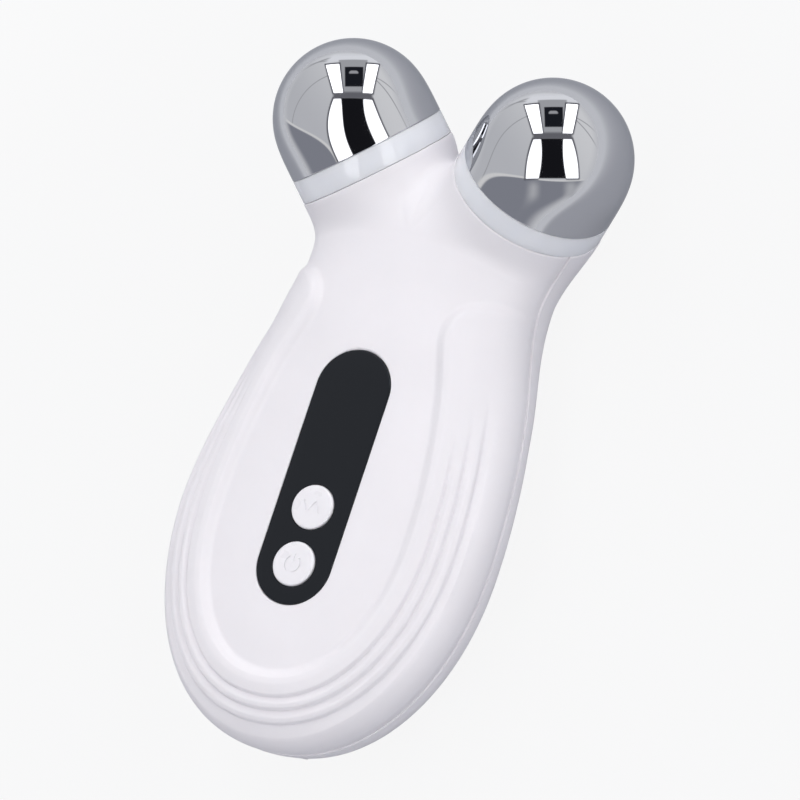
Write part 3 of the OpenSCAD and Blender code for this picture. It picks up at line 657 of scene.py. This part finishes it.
def head_matrix(h, which):
    """Places a turned piece on the left (-1) or right (1) head."""
    return (Matrix.Translation(Vector((which * h.dome_x, h.dome_y, h.dome_h)) * MM)
            @ Matrix.Rotation(-which * h.splay, 4, "Z") @ Matrix.Rotation(h.lean - math.pi / 2, 4, "X"))


# ---- materials ----


def add_node(tree, kind, values=None, links=None, **options):
    """Adds one node with its options, its input values and its incoming links."""
    node = tree.nodes.new(kind)
    for key, value in options.items():
        setattr(node, key, value)
    for key, value in (values or {}).items():
        node.inputs[key].default_value = value
    for key, socket in (links or {}).items():
        tree.links.new(socket, node.inputs[key])
    return node


def start_material(name, rgb, **sockets):
    """An empty material with its shader, whose constant values sit on the shader's own sockets."""
    material = bpy.data.materials.new(name)
    material.use_nodes = True
    tree = material.node_tree
    tree.nodes.clear()
    values = {"Base Color": (*rgb, 1)}
    values.update({key.replace("_", " "): value for key, value in sockets.items()})
    shader = add_node(tree, "ShaderNodeBsdfPrincipled", values)
    add_node(tree, "ShaderNodeOutputMaterial", links={"Surface": shader.outputs["BSDF"]})
    return material, tree, shader


def grain(tree, shader, pitch_mm, height_mm):
    """Moulded or blasted grain: a bump with a real pitch and height."""
    where = add_node(tree, "ShaderNodeTexCoord")
    noise = add_node(
        tree, "ShaderNodeTexNoise", {"Scale": 1 / (pitch_mm * MM), "Detail": 2.0, "Roughness": 0.55},
        {"Vector": where.outputs["Object"]},
    )
    bump = add_node(
        tree, "ShaderNodeBump", {"Strength": 1.0, "Distance": height_mm * MM}, {"Height": noise.outputs["Fac"]}
    )
    tree.links.new(bump.outputs["Normal"], shader.inputs["Normal"])


def varied(tree, shader, socket, low, high, scale_mm, rgb=False):
    """Drives one socket between two values with slow noise of a real size."""
    where = add_node(tree, "ShaderNodeTexCoord")
    noise = add_node(
        tree, "ShaderNodeTexNoise", {"Scale": 1 / (scale_mm * MM), "Detail": 3.0},
        {"Vector": where.outputs["Object"]},
    )
    if rgb:
        ramp = add_node(tree, "ShaderNodeValToRGB", links={"Fac": noise.outputs["Fac"]})
        ramp.color_ramp.elements[0].position, ramp.color_ramp.elements[1].position = 0.35, 0.65
        ramp.color_ramp.elements[0].color, ramp.color_ramp.elements[1].color = (*low, 1), (*high, 1)
        tree.links.new(ramp.outputs["Color"], shader.inputs[socket])
    else:
        spread = add_node(
            tree, "ShaderNodeMapRange", {"From Min": 0.35, "From Max": 0.65, "To Min": low, "To Max": high},
            {"Value": noise.outputs["Fac"]},
        )
        tree.links.new(spread.outputs["Result"], shader.inputs[socket])


def shade(rgb, factor):
    """The same colour, lighter or darker."""
    return tuple(min(1.0, c * factor) for c in rgb)


def white_abs(rgb):
    """ABS, injection moulded in a fine-blasted tool.

    The blasting gives it a soft sheen in place of sharp reflections, and the white pigment lets a
    little light in, so edges stay soft. Its grain is drawn at 0.3 mm, coarser than the real 0.05 mm.
    """
    material, tree, shader = start_material(
        "abs_white_satin_moulded", rgb, Roughness=0.42, IOR=1.53, Subsurface_Weight=0.12,
        Subsurface_Radius=(1.0, 0.9, 0.85), Subsurface_Scale=0.0008,
    )
    grain(tree, shader, 0.3, 0.0016)
    varied(tree, shader, "Roughness", 0.38, 0.46, 9)
    varied(tree, shader, "Base Color", shade(rgb, 0.985), shade(rgb, 1.01), 14, rgb=True)
    return material


def smoked_acrylic(rgb):
    """PMMA, cast with a smoke tint and flame polished: near black, with a clean gloss and a few dust specks."""
    material, tree, shader = start_material(
        "acrylic_smoked_polished", rgb, Roughness=0.09, IOR=1.49, Specular_IOR_Level=0.32,
        Specular_Tint=(0.9, 0.97, 1.08, 1),
    )
    where = add_node(tree, "ShaderNodeTexCoord")
    # dust lies about 4 mm apart, in specks of about 0.15 mm
    cells = add_node(
        tree, "ShaderNodeTexVoronoi", {"Scale": 1 / (4 * MM)}, {"Vector": where.outputs["Object"]}, feature="F1"
    )
    speck = add_node(
        tree, "ShaderNodeMapRange", {"From Min": 0.028, "From Max": 0.016, "To Min": 0.0, "To Max": 1.0},
        {"Value": cells.outputs["Distance"]},
    )
    mix = add_node(
        tree, "ShaderNodeMix", {6: (*rgb, 1), 7: (*linear("#8F9097"), 1)}, {0: speck.outputs["Result"]},
        data_type="RGBA",
    )
    tree.links.new(mix.outputs[2], shader.inputs["Base Color"])
    varied(tree, shader, "Roughness", 0.07, 0.12, 6)
    return material


def button_abs(rgb):
    """ABS, moulded in a polished tool: a little brighter and glossier than the housing."""
    material, tree, shader = start_material(
        "abs_white_button_polished", rgb, Roughness=0.3, IOR=1.53, Subsurface_Weight=0.1,
        Subsurface_Radius=(1.0, 0.9, 0.85), Subsurface_Scale=0.0006,
    )
    grain(tree, shader, 0.35, 0.0008)
    varied(tree, shader, "Roughness", 0.27, 0.33, 3)
    return material


def electrode_chrome(rgb):
    """Bright chrome, plated over a polished zinc casting: a mirror with a cool tint and hardly any haze.

    Chromium reflects a little less at a flat angle than the plain metal model, so the rims stay grey.
    """
    material, tree, shader = start_material(
        "chrome_plated_polished", rgb, Metallic=1.0, Roughness=0.035, Specular_Tint=(0.76, 0.77, 0.79, 1)
    )
    varied(tree, shader, "Roughness", 0.02, 0.05, 5)
    return material


def frosted_ring(rgb):
    """Polycarbonate, moulded with a diffusing filler: milky and slightly blue, and glossy outside."""
    material, tree, shader = start_material(
        "polycarbonate_frosted_moulded", rgb, Roughness=0.07, IOR=1.58, Subsurface_Weight=0.45,
        Subsurface_Radius=(0.9, 0.95, 1.0), Subsurface_Scale=0.0022,
    )
    grain(tree, shader, 0.4, 0.0008)
    return material


def inner_part(name, rgb, roughness, metallic=0.0, pitch=0.5, height=0.004):
    """The finish of a part that the housing hides: a colour that varies a little, and a fine grain."""
    material, tree, shader = start_material(name, rgb, Roughness=roughness, Metallic=metallic)
    grain(tree, shader, pitch, height)
    varied(tree, shader, "Base Color", shade(rgb, 0.88), shade(rgb, 1.12), 3, rgb=True)
    return material


def dress(obj, material):
    """Gives a piece its material."""
    obj.data.materials.clear()
    obj.data.materials.append(material)


# ---- the pieces ----


class TONER_OT_front_housing(bpy.types.Operator):
    """Front shell with the raised band, the ribs, the panel's recess and the front halves of the necks"""

    bl_idname = "toner.front_housing"
    bl_label = "Front housing"

    def execute(self, context):
        z, h, p = settings("toner_housing"), settings("toner_heads"), settings("toner_panel")
        shell = new_object("front_housing", *shell_mesh(z, h, 1))
        floor = z.panel_h - p.panel_t
        rings = [panel_loop(p, 2 * FIT, floor)]
        for k in range(6):
            a = math.radians(90 * k / 5)
            grow = 2 * (FIT + LIP * (1 - math.cos(a)))
            rings.append(panel_loop(p, grow, z.panel_h - 0.3 + LIP * math.sin(a)))
        rings.append(panel_loop(p, 2 * (FIT + LIP) + 0.4, z.panel_h + 0.2))
        cutters = [stacked("recess", rings)]
        bore, wide = p.button_r + FIT, p.button_r + FLANGE_PLAY
        for y in button_places(p):
            cutters.append(stacked("bore", [disc_loop(wide, y, floor - 4), disc_loop(wide, y, floor - 1),
                                            disc_loop(bore, y, floor - 1), disc_loop(bore, y, floor + 0.5)]))
        cut(shell, cutters)
        dress(shell, white_abs(z.shell_colour))
        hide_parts("front_shell")
        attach(shell, "housing")
        return {"FINISHED"}


class TONER_OT_rear_housing(bpy.types.Operator):
    """Rear shell with its flat rest, the charging port and the rear halves of the necks"""

    bl_idname = "toner.rear_housing"
    bl_label = "Rear housing"

    def execute(self, context):
        z, h = settings("toner_housing"), settings("toner_heads")
        shell = new_object("rear_housing", *shell_mesh(z, h, -1))
        low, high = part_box("usb_socket")
        width, height = (high.x - low.x) / MM + PORT_PLAY, (high.z - low.z) / MM + PORT_PLAY
        middle = (high.z + low.z) / 2 / MM
        rings = []
        for inwards, grow in PORT_RINGS:
            loop = pill_loop(height + grow, width + grow, 0, 0)
            rings.append([(b, inwards - z.tail_len, middle + a) for a, b, _ in loop])
        cut(shell, [stacked("port", rings)])
        dress(shell, bpy.data.materials["abs_white_satin_moulded"])
        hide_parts("rear_shell")
        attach(shell, "housing")
        return {"FINISHED"}


class TONER_OT_control_panel(bpy.types.Operator):
    """Smoked panel, a flush pill with two button openings"""

    bl_idname = "toner.control_panel"
    bl_label = "Control panel"

    def execute(self, context):
        z, p = settings("toner_housing"), settings("toner_panel")
        low = z.panel_h - p.panel_t
        rings = [panel_loop(p, -0.2, low), panel_loop(p, 0, low + 0.1)]
        rings.append(panel_loop(p, 0, z.panel_h - PANEL_BEVEL))
        for k in range(1, 5):
            a = math.radians(90 * k / 4)
            grow = -2 * PANEL_BEVEL * (1 - math.cos(a))
            rings.append(panel_loop(p, grow, z.panel_h - PANEL_BEVEL * (1 - math.sin(a))))
        panel = stacked("control_panel_smoked", rings)
        bore = p.button_r + FIT
        cutters = []
        for y in button_places(p):
            cutters.append(stacked("hole", [
                disc_loop(bore, y, z.panel_h - 2), disc_loop(bore, y, z.panel_h - 0.1),
                disc_loop(bore + 0.1, y, z.panel_h), disc_loop(bore + 0.3, y, z.panel_h + 0.2)]))
        cut(panel, cutters)
        dress(panel, smoked_acrylic(p.panel_colour))
        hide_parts("control_panel")
        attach(panel, "housing")
        return {"FINISHED"}


def stroke(name, points, width, low, high):
    """A solid that follows a flat line with a given width, for an engraved mark."""
    pts = [Vector((x, y, 0)) for x, y in points]
    left, right = [], []
    for k, p in enumerate(pts):
        along = (pts[min(k + 1, len(pts) - 1)] - pts[max(k - 1, 0)]).normalized()
        across = Vector((-along.y, along.x, 0)) * width / 2
        left.append(p + across)
        right.append(p - across)
    ring = left + right[::-1]
    return stacked(name, [[(v.x, v.y, low) for v in ring], [(v.x, v.y, high) for v in ring]])


def cap(name, p, z, y, marks):
    """A button cap with its flange, its rounded rim and a shallow engraved mark."""
    top = z.panel_h + p.button_rise
    box_low, box_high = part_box("mode_button")
    low = box_low.z / MM
    flange_r = (box_high.x - box_low.x) / 2 / MM
    flange_low = low + FLANGE_AT
    flange_top = flange_low + FLANGE_T
    crown = [(p.button_r * 0.86 * s, top - CAP_DISH * (1 - s) ** 1.5) for s in (0, 0.25, 0.5, 0.75, 1)]
    rim = [(p.button_r - CAP_ROUND_IN * (1 - math.sin(a)), top - CAP_ROUND_DOWN * (1 - math.cos(a)))
           for a in np.linspace(0.2, math.pi / 2, 7)]
    profile = crown + rim + [(p.button_r, flange_top), (flange_r, flange_top), (flange_r, flange_low),
                             (STEM_R, flange_low), (STEM_R, low), (0, low)]
    obj = lathe(name, profile, 128)
    obj.data.transform(Matrix.Translation((0, y * MM, 0)))
    cut(obj, [stroke("mark", [(a, b + y) for a, b in line], MARK_W, top - MARK_DEPTH, top + 0.5)
              for line in marks])
    return obj


class TONER_OT_buttons(bpy.types.Operator):
    """Mode and power button, each with a generic engraved mark"""

    bl_idname = "toner.buttons"
    bl_label = "Buttons"

    def execute(self, context):
        z, p = settings("toner_housing"), settings("toner_panel")
        arc_r, opening = 1.28, 0.62
        arc = [(arc_r * math.sin(a), arc_r * math.cos(a) - 0.1)
               for a in np.linspace(opening, 2 * math.pi - opening, 40)]
        power = [arc, [(0, 0.15), (0, 0.8), (0, 1.5)]]
        wave = [[(x, 0.75 * math.sin(x * 2.9)) for x in np.linspace(-1.62, 1.62, 48)]]
        finish = button_abs(p.button_colour)
        power_at, mode_at = button_places(p)
        for name, y, marks, body in (
            ("power_button_cap", power_at, power, "power_key"),
            ("mode_button_cap", mode_at, wave, "mode_key"),
        ):
            piece = cap(name, p, z, y, marks)
            dress(piece, finish)
            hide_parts(name.replace("_cap", ""))
            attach(piece, body)
        return {"FINISHED"}


def dome_profile(r, skirt):
    """Outer line of a dome from its top down: its roundness fades smoothly into the straight skirt."""
    step, fade = DOME_STEP, DOME_FADE
    bend = 1 / r
    # the roundness is set so that the line ends at the dome's radius
    for _ in range(12):
        start = math.pi / 2 / bend - fade / 2
        run = np.arange(0, start + fade + step, step)
        turn = np.cumsum(bend * (1 - smooth((run - start) / fade)) * step) - bend * step / 2
        across, down = np.cumsum(np.cos(turn)) * step, np.cumsum(np.sin(turn)) * step
        bend *= across[-1] / r
    height = r - down
    keep = np.arange(0, len(run), 6)
    points = [(0, r)] + [(float(across[k]), float(height[k])) for k in keep[1:] if height[k] > 0.4 - skirt]
    low = points[-1][1]
    return points + [(r, low + (0.2 - skirt - low) * t) for t in (0.5, 1)]


class TONER_OT_electrode_domes(bpy.types.Operator):
    """Two mirror-plated domes, each a hemisphere on a short skirt"""

    bl_idname = "toner.electrode_domes"
    bl_label = "Electrode domes"

    def execute(self, context):
        h = settings("toner_heads")
        finish = electrode_chrome(h.chrome_colour)
        r, inner, skirt = h.dome_r, h.dome_r - h.dome_wall, h.skirt_len
        profile = dome_profile(r, skirt)
        profile += [(r - DOME_EDGE * (1 - math.cos(a)), -skirt + DOME_EDGE * (1 - math.sin(a)))
                    for a in np.linspace(0, math.pi / 2, 6)]
        profile += [(inner, -skirt)]
        profile += [(inner * math.cos(a) if k < 15 else 0, inner * math.sin(a))
                    for k, a in enumerate(np.linspace(0, math.pi / 2, 16))]
        for which, name in ((-1, "left_dome"), (1, "right_dome")):
            dome = lathe(name + "_chrome", profile, 288)
            dome.data.transform(head_matrix(h, which))
            dress(dome, finish)
            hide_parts(name)
            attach(dome, "housing")
        return {"FINISHED"}


class TONER_OT_light_rings(bpy.types.Operator):
    """Two frosted rings between the domes and the housing"""

    bl_idname = "toner.light_rings"
    bl_label = "Light rings"

    def execute(self, context):
        h = settings("toner_heads")
        finish = frosted_ring(h.ring_colour)
        top, low, r = -h.skirt_len, -h.skirt_len - h.ring_h, h.dome_r
        spigot = r + h.lip_step - RIM_WALL - SPIGOT_PLAY
        cup = spigot - RING_WALL
        under, end, roof = low + RING_GAP, low - SPIGOT_LEN, top - RING_WALL
        points = [(RING_BORE, top), (r, top), (r, under), (spigot, under), (spigot, end), (cup, end),
                  (cup, roof), (RING_BORE, roof)]
        radii = [0, 0.14, 0.14, 0, 0.1, 0, 0, 0]
        for which, name in ((-1, "left_light_ring"), (1, "right_light_ring")):
            ring = lathe(name + "_frosted", rounded(points, radii), 224)
            ring.data.transform(head_matrix(h, which))
            dress(ring, finish)
            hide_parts(name)
            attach(ring, "housing")
        return {"FINISHED"}


class TONER_OT_inside_parts(bpy.types.Operator):
    """Finishes of the parts inside: boards, switches, battery, leads, cores and screws"""

    bl_idname = "toner.inside_parts"
    bl_label = "Inside parts"

    def execute(self, context):
        finishes = {
            # glass-fibre board with solder mask: deep green, slightly glossy
            "board": (inner_part("laminate_green_solder_mask", linear("#1F5A3A"), 0.4, pitch=0.8),
                      ["main_board", "charge_board", "left_ring_board", "right_ring_board"]),
            # nylon, moulded: black switch bodies with a soft sheen
            "switch_body": (inner_part("nylon_black_moulded", linear("#1C1C1F"), 0.5),
                            ["mode_switch", "power_switch"]),
            # acetal, moulded: pale and waxy
            "plunger": (inner_part("acetal_white_moulded", linear("#E4E3E2"), 0.4),
                        ["mode_switch_plunger", "power_switch_plunger"]),
            # epoxy, transfer moulded: matt black
            "chip": (inner_part("epoxy_black_moulded", linear("#1A1A1C"), 0.65), ["controller_chip"]),
            # ferrite, pressed and sintered: dark grey and dull
            "inductor": (inner_part("ferrite_sintered", linear("#2B2B2E"), 0.7, pitch=0.3), ["boost_inductor"]),
            # aluminium can in a printed sleeve, left plain
            "can": (inner_part("aluminium_can_drawn", linear("#C6C7CA"), 0.35, metallic=1.0), ["capacitors"]),
            # nylon, moulded: ivory sockets
            "socket": (inner_part("nylon_ivory_moulded", linear("#E6E3D8"), 0.5), ["wire_sockets"]),
            # clear epoxy lens
            "led": (inner_part("epoxy_clear_cast", linear("#E2E3D2"), 0.2), ["indicator_leds"]),
            # ABS, moulded: black light baffle
            "baffle": (inner_part("abs_black_moulded", linear("#161617"), 0.6), ["light_baffle"]),
            # steel, cold headed and nickel plated
            "steel": (inner_part("steel_nickel_plated", linear("#C9C8C4"), 0.28, metallic=1.0),
                      ["board_screws", "case_screws", "left_core_clip", "right_core_clip", "left_dome_screw",
                       "right_dome_screw", "usb_socket"]),
            # laminated aluminium foil pouch, heat sealed
            "cell": (inner_part("foil_pouch_laminated", linear("#BFC1C6"), 0.38, metallic=0.8, pitch=2,
                                height=0.03), ["battery"]),
            # polyurethane foam, die cut: open cells about half a millimetre wide
            "foam": (inner_part("foam_black_die_cut", linear("#1B1B1C"), 0.9, pitch=0.5, height=0.08),
                     ["battery_pad"]),
            # silicone, extruded: dull red sleeve
            "lead": (inner_part("silicone_red_extruded", linear("#8E1F1F"), 0.55),
                     ["battery_leads", "charge_leads", "left_electrode_wire", "right_electrode_wire"]),
            # ABS, moulded: off-white cores
            "core": (inner_part("abs_ivory_moulded", linear("#E3E1DC"), 0.5),
                     ["left_head_core", "right_head_core"]),
        }
        for slot_name, (material, nodes) in finishes.items():
            for node in nodes:
                dress(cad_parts[node], material)
        return {"FINISHED"}


# ---- camera, floor and light ----

# Shapes in the tent, in degrees from the camera's own axis: the lower and the upper edge, the left and
# the right edge at the lower one and at the upper one, and how far both sides bow outwards
STRIP_LIGHTS = (
    (36, 84, (-28, -15), (-43, -22), 0),
    (36, 84, (13.5, 27), (21, 39), 0),
    (-28, 27, (-39, -21), (-28, -17.5), 2.6),
    (-28, 27, (18.5, 36), (14, 26), 2.2),
)
STRIP_FRAMES = (
    (34, 87, (-30, -13), (-46, -20), 0),
    (34, 87, (11.5, 29), (19, 42), 0),
    (-30, 30, (-41.5, -21), (-30, -16), 2.6),
    (-30, 30, (18, 38), (13, 28), 2.2),
)
LENS_OPENING = (-28, 28, (-24, 21), (-19, 15), 0)
LENS_GAP = (27, 37, (-29, 27), (-29, 27), 0)
CAMERA_HEAD = (45, 78, (-12, 14), (-13, 15), 0)
CAMERA_MARK = (66, 71, (-6, 7), (-4, 5), 1)
GREY_GAP = (30, 92, (-16, 15), (-23, 22), 0)
TOP_GLOW = (87, 104, (-46, 43), (-34, 32), 0)
FLOOR_GLOW = ((-54, -34, (-33, -21), (-34, -22), 0), (-56, -34, (18, 33), (18, 33), 0))
# The upper strip lights shine brighter than the lower ones by these shares of the strength
UPPER_STRIPS = 1.2
LOWER_STRIPS = 0.8
# How much of the paper's plain white the camera and the chrome see, in place of its lit surface
CAMERA_WHITE = 0.9
CHROME_WHITE = 0.2
# The paper's painted shade next to the object fades into its painted lighter far colour between these distances
# from the object, in metres
PAPER_SHADE_NEAR = 0.075
PAPER_SHADE_FAR = 0.2
# Lines of the tent, each through three directions
SWEEP_EDGE = ((-88, -13), (0, -31), (85, -23))
CEILING_EDGE = ((-97, 75), (0, 101), (107, 65))
SEAMS = (((-98, -7), (-75, 40), (-43, 62)), ((47, 42), (65, 15), (77, -16)))


def tent_axes(s):
    """Right, up and back direction of the tent, which stands square to the camera."""
    turn = Vector(s.group.camera_turn)
    m = Matrix.Rotation(turn.length, 3, turn.normalized())
    return [m @ Vector(v) for v in ((1, 0, 0), (0, 1, 0), (0, 0, 1))]


def tent_direction(axes, across, rise):
    """The direction that lies so many degrees across and up from the tent's own axis."""
    far = math.hypot(across, rise)
    right, up, back = axes
    return (back * math.cos(math.radians(far))
            + (right * across + up * rise) / far * math.sin(math.radians(far))).normalized()


class TONER_OT_studio(bpy.types.Operator):
    """Camera, pale floor and the light tent with its strip lights"""

    bl_idname = "toner.studio"
    bl_label = "Studio"

    def execute(self, context):
        s = settings("toner_studio")
        scene = context.scene
        data = bpy.data.cameras.new("photo_camera")
        data.lens, data.sensor_width, data.clip_start, data.clip_end = s.camera_lens, 36, 0.1, 30
        camera = bpy.data.objects.new("photo_camera", data)
        turn = Vector(s.group.camera_turn)
        camera.matrix_world = (Matrix.Translation(s.group.camera_at)
                               @ Matrix.Rotation(turn.length, 4, turn.normalized()))
        scene.collection.objects.link(camera)
        scene.camera = camera
        scene.view_settings.view_transform = "Standard"

        half = s.group.floor_size / 2
        mesh = bpy.data.meshes.new("studio_floor")
        corners = [(-half, -half, 0), (half, -half, 0), (half, half, 0), (-half, half, 0)]
        mesh.from_pydata(corners, [], [(0, 1, 2, 3)])
        floor = bpy.data.objects.new("studio_floor", mesh)
        scene.collection.objects.link(floor)
        floor.location.z = -0.00005
        material, tree, shader = start_material(
            "paper_white_matt", s.floor_painted_shade_colour, Roughness=0.9, Specular_IOR_Level=0.1)
        # the camera sees nearly white paper with a faint shadow, and the chrome more of the shadow
        ray = add_node(tree, "ShaderNodeLightPath")
        through = {0: ray.outputs["Is Camera Ray"], 1: ray.outputs["Is Transmission Ray"]}
        seen = add_node(tree, "ShaderNodeMath", links=through, operation="MAXIMUM")
        part = add_node(tree, "ShaderNodeMath", {1: CAMERA_WHITE}, {0: seen.outputs[0]}, operation="MULTIPLY")
        part = add_node(tree, "ShaderNodeMath", {1: CHROME_WHITE},
                        {0: ray.outputs["Is Glossy Ray"], 2: part.outputs[0]}, operation="MULTIPLY_ADD")
        white = add_node(tree, "ShaderNodeEmission", {"Color": (1, 1, 1, 1), "Strength": 1.0})
        mixed = add_node(tree, "ShaderNodeMixShader",
                         links={0: part.outputs[0], 1: shader.outputs[0], 2: white.outputs[0]})
        # painted shade and light: the paper's colour is darker near the object, as if in its soft shadow, and
        # lighter towards the tent's walls
        place = add_node(tree, "ShaderNodeTexCoord")
        away = add_node(tree, "ShaderNodeVectorMath", links={0: place.outputs["Object"]}, operation="LENGTH")
        edge = add_node(tree, "ShaderNodeMapRange", {"From Min": PAPER_SHADE_NEAR, "From Max": PAPER_SHADE_FAR},
                        {"Value": away.outputs["Value"]}, interpolation_type="SMOOTHSTEP")
        painted_floor_shade = add_node(tree, "ShaderNodeMix", {6: (*s.floor_painted_shade_colour, 1), 7: (*s.far_floor_painted_light_colour, 1)},
                        {0: edge.outputs["Result"]}, data_type="RGBA")
        tree.links.new(painted_floor_shade.outputs[2], shader.inputs["Base Color"])
        output = next(n for n in tree.nodes if n.type == "OUTPUT_MATERIAL")
        tree.links.new(mixed.outputs[0], output.inputs["Surface"])
        floor.data.materials.append(material)
        self.tent(scene, s)
        return {"FINISHED"}

    def tent(self, scene, s):
        """The light tent as the world's light, drawn by direction."""
        axes = tent_axes(s)
        world = bpy.data.worlds.new("light_tent")
        world.use_nodes = True
        scene.world = world
        tree = world.node_tree
        tree.nodes.clear()
        where = add_node(tree, "ShaderNodeTexCoord").outputs["Generated"]

        def math_node(kind, *inputs):
            values = {k: v for k, v in enumerate(inputs) if isinstance(v, (int, float))}
            links = {k: v for k, v in enumerate(inputs) if not isinstance(v, (int, float))}
            return add_node(tree, "ShaderNodeMath", values, links, operation=kind).outputs[0]

        def along(direction):
            node = add_node(tree, "ShaderNodeVectorMath", {1: direction}, {0: where}, operation="DOT_PRODUCT")
            return node.outputs["Value"]

        def step(value, low, high):
            return add_node(tree, "ShaderNodeMapRange", {"From Min": low, "From Max": high}, {"Value": value},
                            interpolation_type="SMOOTHSTEP").outputs["Result"]

        side_part, up_part, back_part = (along(a) for a in axes)
        far = math_node("MULTIPLY", math_node("ARCCOSINE", back_part), 180 / math.pi)
        size = math_node("MAXIMUM", math_node("SQRT", math_node(
            "ADD", math_node("MULTIPLY", side_part, side_part), math_node("MULTIPLY", up_part, up_part))), 1e-5)
        x = math_node("MULTIPLY", math_node("DIVIDE", side_part, size), far)
        y = math_node("MULTIPLY", math_node("DIVIDE", up_part, size), far)

        def inside(shape, soft):
            low, high, (left_low, right_low), (left_high, right_high), bow = shape

            def side(at_low, at_high):
                slope = (at_high - at_low) / (high - low)
                return math_node("MULTIPLY_ADD", y, slope, at_low - slope * low)

            left = math_node("SUBTRACT", x, side(left_low, left_high))
            right = math_node("SUBTRACT", side(right_low, right_high), x)
            if bow:
                share = math_node("MULTIPLY_ADD", y, 2 / (high - low), -(high + low) / (high - low))
                swell = math_node("MULTIPLY_ADD", math_node("MULTIPLY", share, share), -bow, bow)
                left, right = math_node("ADD", left, swell), math_node("ADD", right, swell)
            masks = [step(left, -soft, soft), step(right, -soft, soft), step(y, low - soft, low + soft),
                     step(y, high + soft, high - soft)]
            out = masks[0]
            for mask in masks[1:]:
                out = math_node("MULTIPLY", out, mask)
            return out

        def beyond(three):
            a, b, c = (tent_direction(axes, *at) for at in three)
            normal = (b - a).cross(c - a).normalized()
            return math_node("SUBTRACT", along(tuple(normal)), normal.dot(a))

        def blend(base, over, mask):
            values = {k: (*v, 1) for k, v in ((6, base), (7, over)) if isinstance(v, tuple)}
            links = {k: v for k, v in ((6, base), (7, over)) if not isinstance(v, tuple)}
            return add_node(tree, "ShaderNodeMix", values, {0: mask, **links}, data_type="RGBA").outputs[2]

        cloth = tuple(s.tent_colour)
        slant = math_node("MULTIPLY_ADD", x, 0.8, math_node("MULTIPLY", y, 0.6))
        light = blend(shade(cloth, 0.88), shade(cloth, 1.18), step(slant, -60, 70))
        light = blend(light, (1.08, 1.09, 1.12), step(beyond(CEILING_EDGE), 0, 0.06))
        for seam in (CEILING_EDGE, *SEAMS):
            light = blend(light, shade(cloth, 0.62), step(math_node("ABSOLUTE", beyond(seam)), 0.022, 0.004))
        below = beyond(SWEEP_EDGE)
        light = blend(light, tuple(s.sweep_colour), step(below, 0.0, -0.03))
        light = blend(light, (1.0, 0.99, 0.97), step(math_node("ABSOLUTE", below), 0.03, 0.008))
        # the cloth's foot takes the floor's tone, so no hard horizon shows in the chrome
        light = blend(light, (0.86, 0.865, 0.88), step(along((0, 0, 1)), 0.2, 0.0))
        light = blend(light, (1.15, 1.16, 1.19), inside(TOP_GLOW, 5))
        light = blend(light, shade(cloth, 0.66), inside(GREY_GAP, 1.5))
        for shape in FLOOR_GLOW:
            light = blend(light, shade(cloth, 0.75), inside(shape, 7))
        for shape in STRIP_FRAMES:
            light = blend(light, (0.12, 0.12, 0.14), inside(shape, 1.4))
        light = blend(light, (0.2, 0.2, 0.22), inside(LENS_GAP, 2.5))
        light = blend(light, (0.016, 0.018, 0.024), inside(CAMERA_HEAD, 1.0))
        light = blend(light, (0.5, 0.5, 0.52), inside(CAMERA_MARK, 1.2))
        light = blend(light, (0.012, 0.012, 0.015), inside(LENS_OPENING, 1.0))
        for shape in STRIP_LIGHTS:
            glow = s.softbox_power * (UPPER_STRIPS if shape[0] > 0 else LOWER_STRIPS)
            light = blend(light, (glow, glow, glow * 1.01), inside(shape, 0.8))
        shader = add_node(tree, "ShaderNodeBackground", {"Strength": 1.0}, {"Color": light})
        add_node(tree, "ShaderNodeOutputWorld", links={"Surface": shader.outputs[0]})


class TONER_PT_panel(bpy.types.Panel):
    """The device's pieces and their sizes"""

    bl_label = "Facial toning device"
    bl_space_type = "VIEW_3D"
    bl_region_type = "UI"
    bl_category = "Toner"

    def draw(self, context):
        for operator in OPERATORS:
            self.layout.operator(operator.bl_idname)
        for name in GROUPS:
            box = self.layout.box()
            group = getattr(context.scene, name)
            for key in group.__annotations__:
                box.prop(group, key)


OPERATORS = (
    TONER_OT_studio,
    TONER_OT_front_housing,
    TONER_OT_rear_housing,
    TONER_OT_control_panel,
    TONER_OT_buttons,
    TONER_OT_electrode_domes,
    TONER_OT_light_rings,
    TONER_OT_inside_parts,
)
GROUPS = {
    "toner_housing": TonerHousing,
    "toner_heads": TonerHeads,
    "toner_panel": TonerPanel,
    "toner_studio": TonerStudio,
}


def register():
    """Registers the settings, the operators and the panel."""
    for cls in (*GROUPS.values(), *OPERATORS, TONER_PT_panel):
        bpy.utils.register_class(cls)
    for name, cls in GROUPS.items():
        setattr(bpy.types.Scene, name, bpy.props.PointerProperty(type=cls))


def unregister():
    """Takes them all away again."""
    for name in GROUPS:
        delattr(bpy.types.Scene, name)
    for cls in (TONER_PT_panel, *reversed(OPERATORS), *GROUPS.values()):
        bpy.utils.unregister_class(cls)


def main():
    """Builds the whole scene."""
    register()
    for name in ("Cube", "Light", "Camera"):
        if name in bpy.data.objects:
            bpy.data.objects.remove(bpy.data.objects[name])
    for operator in OPERATORS:
        group, call = operator.bl_idname.split(".")
        getattr(getattr(bpy.ops, group), call)()


if __name__ == "__main__":
    main()
